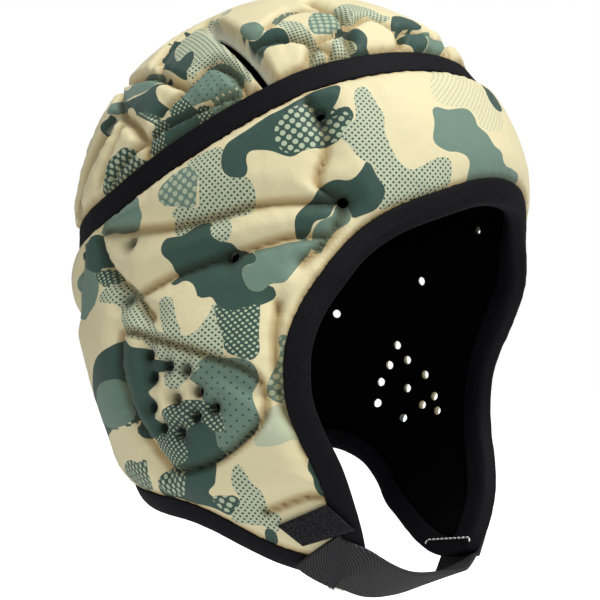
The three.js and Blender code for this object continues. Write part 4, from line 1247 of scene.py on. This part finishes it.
def finish_pad(sheet, name, node, flat, size, corner, patches, level, thickness, wraps):
    """Closes a pad's wall and prints its cloth. Only the pad that wraps round has holes."""
    close_wall(sheet, INNER_OUT)
    piece = as_object(sheet, name, printed_cloth(name + "_print", size))
    if wraps:
        cut_holes(piece, hole_radii)
    points = paint(piece.data, flat, patches, level)
    _, sewn = thickness(points)
    # How open the cloth lies, from which the shader paints shade into the folds
    store(piece.data, "open", np.clip(sewn, 0, PAD) / MM)
    places = raised(points)
    # How strongly the shader paints shade round the holes
    store(piece.data, "pit_shade", np.exp(-(hole_rims.near(places)[0] / PIT) ** 2) * wraps)
    slit = np.min([lines.near(places)[0] - half * SLIT_CUT for lines, half in slit_lines], axis=0)
    store(piece.data, "lip", np.clip(1 - slit / LIP, 0, 1) * (not wraps))
    lay_print(piece.data, (flat(points) - np.array(corner)) / np.array(size), wraps)
    dressed(piece, "printed_cloth", node)


CROWN_CORNER = (-CROWN_SHEET / 2, -CROWN_SHEET / 2)
BODY_CORNER = (-BODY_GIRTH / 2, BODY_TOP_WAY)
finish_pad(crown_skin(), "crown_quilt", "crown_pad", crown_flat, (CROWN_SHEET, CROWN_SHEET), CROWN_CORNER,
           CROWN_PATCHES, crown_level, crown_thickness, False)
finish_pad(body_skin(), "body_quilt", "body_pad", body_flat, BODY_SHEET, BODY_CORNER,
           BODY_PATCHES, body_level, body_thickness, True)

# %% [markdown]
# The lining is one smooth black cloth inside the pads, with a small round hole behind each
# larger hole of the pad.

# %% The lining


def black_cloth():
    finish = Finish("matte_black_cloth", 0.95, (0.0012, 0.0012, 0.0013))
    finish.bump(finish.grain(1500.0, 1.0), 0.05 * MM)
    finish.set("Specular IOR Level", 0.05)
    return finish.material


def lining_skin():
    sheet, across, down = flat_grid(*LINING_CELLS)
    turns = (across * 2 - 1) * math.pi
    ways = down * BOTTOM_WAY
    flat = point_down(turns, np.maximum(ways, 1e-6), PAD)
    left = keep_corners(sheet, ~beyond_edge(turns, ways) & off_slits(flat))
    put(sheet.verts, point_down(turns[left], ways[left], -GAP))
    bmesh.ops.remove_doubles(sheet, verts=list(sheet.verts), dist=LINING_WELD)
    bmesh.ops.dissolve_degenerate(sheet, edges=list(sheet.edges), dist=WELD)
    return sheet


lining_sheet = lining_skin()
close_wall(lining_sheet, -GAP - LINING)
lining = as_object(lining_sheet, "black_lining", black_cloth())
cut_holes(lining, np.full(len(hole_places), HOLE_RADIUS))
dressed(lining, "black_cloth", "lining")

# %% [markdown]
# A binding tape is folded round the free edge, and a flat tape covers the ring seam. Each is a
# band whose cross-section is carried along its line, so a closed grid makes it: one way along
# the line, the other way round the section.

# %% The tapes
TAPE_STEP = 1.8 * MM
SECTION_STEP = 0.6 * MM
WAVER_PITCH = 4 * MM
WAVER_SCALE = 900
TAPE_SHADES = colour(10, 9, 13), colour(20, 18, 25)
UNDER_LINING = -(LINING + 2 * GAP)


def away_from_pad(loop):
    """At each place of a closed line, the direction across it that leads off the pad."""
    away = np.cross(outward(loop), np.roll(loop, -1, axis=0) - np.roll(loop, 1, axis=0))
    return away / np.linalg.norm(away, axis=1)[:, None]


def band(name, node, loop, section, finish, slot, waver):
    """Carries a closed section of (away, out) places along a closed line on the form."""
    loop = even(np.vstack([loop, loop[:1]]), TAPE_STEP)[:-1]
    away = away_from_pad(loop)
    profile = smooth_line(section, closed=True, spacing=SECTION_STEP)[:-1]
    columns, rows = len(loop), len(profile)
    sheet, across, down = flat_grid(columns, rows)
    place = np.rint(across * columns).astype(int) % columns
    spot = np.rint(down * rows).astype(int) % rows
    aside, outs = profile[spot].T
    wave = np.array([noise.noise(Vector((at * TAPE_STEP / WAVER_PITCH, spot_out * WAVER_SCALE, 1.7)))
                     for at, spot_out in zip(place, outs)])
    centre = profile[:, 1].mean()
    outs = outs + waver * wave * np.sign(outs - centre)
    put(sheet.verts, settle(loop[place] + away[place] * aside[:, None], outs))
    bmesh.ops.remove_doubles(sheet, verts=list(sheet.verts), dist=WELD)
    bmesh.ops.recalc_face_normals(sheet, faces=list(sheet.faces))
    dressed(as_object(sheet, name, finish), slot, node)


def dark_tape():
    finish = Finish("dark_tape", 0.72, colour(14, 12, 17))
    weave = finish.grain(1100.0, 2.0)
    finish.bump(weave, 0.16 * MM)
    finish.set("Base Color", weave.smooth(0.3, 0.75).tint(*TAPE_SHADES))
    finish.set("Specular IOR Level", 0.15)
    return finish.material


TAPE_FINISH = dark_tape()
FOLD = GAP + TAPE
# Sections as places away from the pad and out from the hollow, once round
FOLD_SECTION = [
    (-EDGE_TAPE_WIDTH, OVER_EDGE), (-EDGE_TAPE_WIDTH, TAPE_TOP),
    (-EDGE_TAPE_WIDTH * 0.5, TAPE_TOP + 0.5 * MM), (-1.5 * MM, TAPE_TOP + 0.2 * MM),
    (FOLD, TAPE_TOP - 1.6 * MM), (FOLD + 0.4 * MM, EDGE_PAD / 2), (FOLD, UNDER_LINING + 0.6 * MM),
    (-1.5 * MM, UNDER_LINING - TAPE), (-EDGE_TAPE_WIDTH, UNDER_LINING - TAPE),
    (-EDGE_TAPE_WIDTH, UNDER_LINING), (-1 * MM, UNDER_LINING), (GAP, EDGE_PAD / 2), (-1 * MM, OVER_EDGE),
]
HALF_TAPE = RING_TAPE_WIDTH / 2
FLAT_SECTION = [
    (-HALF_TAPE, OVER_EDGE), (0, OVER_EDGE), (HALF_TAPE, OVER_EDGE), (HALF_TAPE, TAPE_TOP),
    (0, TAPE_TOP + 0.2 * MM), (-HALF_TAPE, TAPE_TOP),
]
band("folded_binding", "edge_binding", edge_loop, FOLD_SECTION, TAPE_FINISH, "dark_tape", 0.25 * MM)
band("ring_tape", "crown_tape", ring_loop, FLAT_SECTION, TAPE_FINISH, "dark_tape", 0.15 * MM)

# %% [markdown]
# The strap is a flat band of webbing. It leaves the right flap below the fuzzy tab, passes
# under the chin and is sewn to the left flap.

# %% The strap and the tab
STRAP_START = [(0.351, 0.925), (0.344, 0.935), (0.33, 0.947), (0.312, 0.958)]
STRAP_END = [(0.322, 0.992), (0.322, 0.965), (0.325, 0.93), (0.328, 0.885)]
# Shares of the half width, the half length, the drop and the strap's width
STRAP_ROUTE = [(-0.34, 0.56, 0.994, 0.5), (0, 0.56, 1.006, 0.45), (0.35, 0.54, 1.008, 0.3)]
STRAP_STEPS = 150
SEAT = TAPE_TOP + 2 * GAP
TAB_CORNERS = [(0.393, 0.884), (0.325, 0.85), (0.293, 0.892), (0.368, 0.918)]
# How far in from its sides and from its top and low edges the tab's puff is counted
TAB_WIDTH, TAB_HEIGHT = 30 * MM, 14 * MM
TAB_EDGE = 2 * MM
TAB_LUMP = 0.25 * MM
RIBS = (70.0, 10.0, 1.0)
WEBBING_SHADES = colour(27, 27, 29), colour(66, 66, 68)
PILE_SHADES = colour(14, 13, 15), colour(52, 50, 54)


def strap_frames(count):
    """Places along the strap, with the directions of its width and its face."""
    start = places_at(STRAP_START, -1, SEAT + STRAP / 2)
    end = places_at(STRAP_END, 1, SEAT + STRAP / 2)
    free = np.array([(side * HEAD_WIDTH / 2, -front * HEAD_LENGTH / 2, -level * CAP_DROP)
                     for side, front, level, _ in STRAP_ROUTE])
    hanging = [(side, -rise, -1) for side, *_, rise in STRAP_ROUTE]
    facing = np.vstack([outward(start), hanging, outward(end)])
    corners = np.vstack([start, free, end])
    line = smooth_line(corners, spacing=0.25 * MM)
    marks = [int(np.argmin(np.linalg.norm(line - corner, axis=1))) for corner in corners]
    at = np.linspace(0, len(line) - 1, count).astype(int)
    middle = line[at]
    face = np.column_stack([np.interp(at, marks, facing[:, axis]) for axis in range(3)])
    along = np.gradient(middle, axis=0)
    along /= np.linalg.norm(along, axis=1)[:, None]
    face -= (face * along).sum(axis=1)[:, None] * along
    face /= np.linalg.norm(face, axis=1)[:, None]
    return middle, np.cross(face, along), face


def rounded_section(half_width, half_thick, corners=4):
    """A flat section with round ends, as (across, up) places."""
    turns = np.linspace(-math.pi / 2, math.pi / 2, corners + 1)
    straight = half_width - half_thick
    end = np.column_stack([straight + half_thick * np.cos(turns), half_thick * np.sin(turns)])
    flat = np.linspace(-1, 1, 13)[1:-1] * straight
    top = np.column_stack([flat[::-1], np.full(len(flat), half_thick)])
    return np.vstack([end, top, -end, -top])


def webbing():
    finish = Finish("grey_webbing", 0.8, colour(62, 62, 64))
    sheet = finish.sheet()
    slant = sheet.node("Mapping", Vector=sheet, Scale=RIBS)
    rib = slant.node("TexWave", {"wave_type": "BANDS", "bands_direction": "DIAGONAL"}, output="Fac",
                     Vector=slant, Scale=1.0, Distortion=0.6)
    finish.set("Base Color", rib.tint(*WEBBING_SHADES))
    finish.bump(rib, 0.35 * MM)
    return finish.material


def strap_band():
    middle, width, face = strap_frames(STRAP_STEPS + 1)
    section = rounded_section(STRAP_WIDTH / 2, STRAP / 2)
    rows = len(section)
    sheet, along, round_it = flat_grid(STRAP_STEPS, rows)
    place = np.rint(along * STRAP_STEPS).astype(int)
    spot = np.rint(round_it * rows).astype(int) % rows
    across, above = section[spot].T
    put(sheet.verts, middle[place] + width[place] * across[:, None] + face[place] * above[:, None])
    layer = sheet.loops.layers.uv.new("print")
    sheet.verts.index_update()
    for side in sheet.faces:
        for loop in side.loops:
            number = loop.vert.index
            loop[layer].uv = (along[number], 0.5 + across[number] / STRAP_WIDTH)
    bmesh.ops.remove_doubles(sheet, verts=list(sheet.verts), dist=WELD)
    bmesh.ops.holes_fill(sheet, edges=[edge for edge in sheet.edges if edge.is_boundary], sides=0)
    bmesh.ops.recalc_face_normals(sheet, faces=list(sheet.faces))
    dressed(as_object(sheet, "webbing_strap", webbing()), "webbing", "chin_strap")


def pile():
    finish = Finish("fuzzy_pile", 1.0, colour(24, 23, 26))
    fuzz = finish.grain(1300.0, 3.0)
    finish.bump(fuzz, 0.9 * MM)
    finish.set("Base Color", fuzz.smooth(0.35, 0.75).tint(*PILE_SHADES))
    return finish.material


def tab_piece():
    sheet, across, down = flat_grid(*TAB_CELLS)
    corners = places_at(TAB_CORNERS, -1, SEAT)
    top_edge = corners[0] + (corners[1] - corners[0]) * across[:, None]
    low_edge = corners[3] + (corners[2] - corners[3]) * across[:, None]
    flat = top_edge + (low_edge - top_edge) * down[:, None]
    rim = np.minimum(np.minimum(across, 1 - across) * TAB_WIDTH, np.minimum(down, 1 - down) * TAB_HEIGHT)
    puff = TAB * (0.55 + 0.45 * swell(rim, TAB_EDGE))
    lump = wandering(flat, 400, 3.3) * TAB_LUMP
    put(sheet.verts, settle(flat, SEAT + puff + lump))
    close_wall(sheet, SEAT)
    dressed(as_object(sheet, "pile_tab", pile()), "pile", "fastening_tab")


# The sewn box on the inside of the left flap, as turns and levels
STITCH_BOX = [(0.37, 0.965), (0.368, 0.957), (0.258, 0.945), (0.253, 0.953)]
THREAD = 0.45 * MM
STITCH = 2.6 * MM


def sewn_row(name, corners):
    """Short rounded stitches of white thread along a few corners."""
    thread = Finish(name + "_thread", 0.8, colour(235, 235, 230))
    sheet = bmesh.new()
    for start, end in zip(corners, corners[1:]):
        count = max(1, round(np.linalg.norm(end - start) / STITCH))
        for number in range(count):
            middle = Vector(start + (end - start) * (number + 0.5) / count)
            turn = Vector(end - start).to_track_quat("X", "Z").to_matrix().to_4x4()
            shape = Matrix.Diagonal((STITCH * 0.45, THREAD, THREAD, 1))
            bmesh.ops.create_icosphere(sheet, subdivisions=2, radius=1,
                                       matrix=Matrix.Translation(middle) @ turn @ shape)
    piece = as_object(sheet, name, thread.material)
    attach(piece, "root")


strap_band()
tab_piece()
sewn_row("sewn_box", places_at(STITCH_BOX, 1, UNDER_LINING - TAPE - THREAD * 0.6))
strap_middle, strap_width, strap_face = strap_frames(STRAP_STEPS + 1)
strap_edge = strap_middle - strap_width * STRAP_WIDTH / 2 + strap_face * STRAP / 3
EDGE_STITCHES = slice(11, 30, 3)
sewn_row("sewn_edge", strap_edge[EDGE_STITCHES])
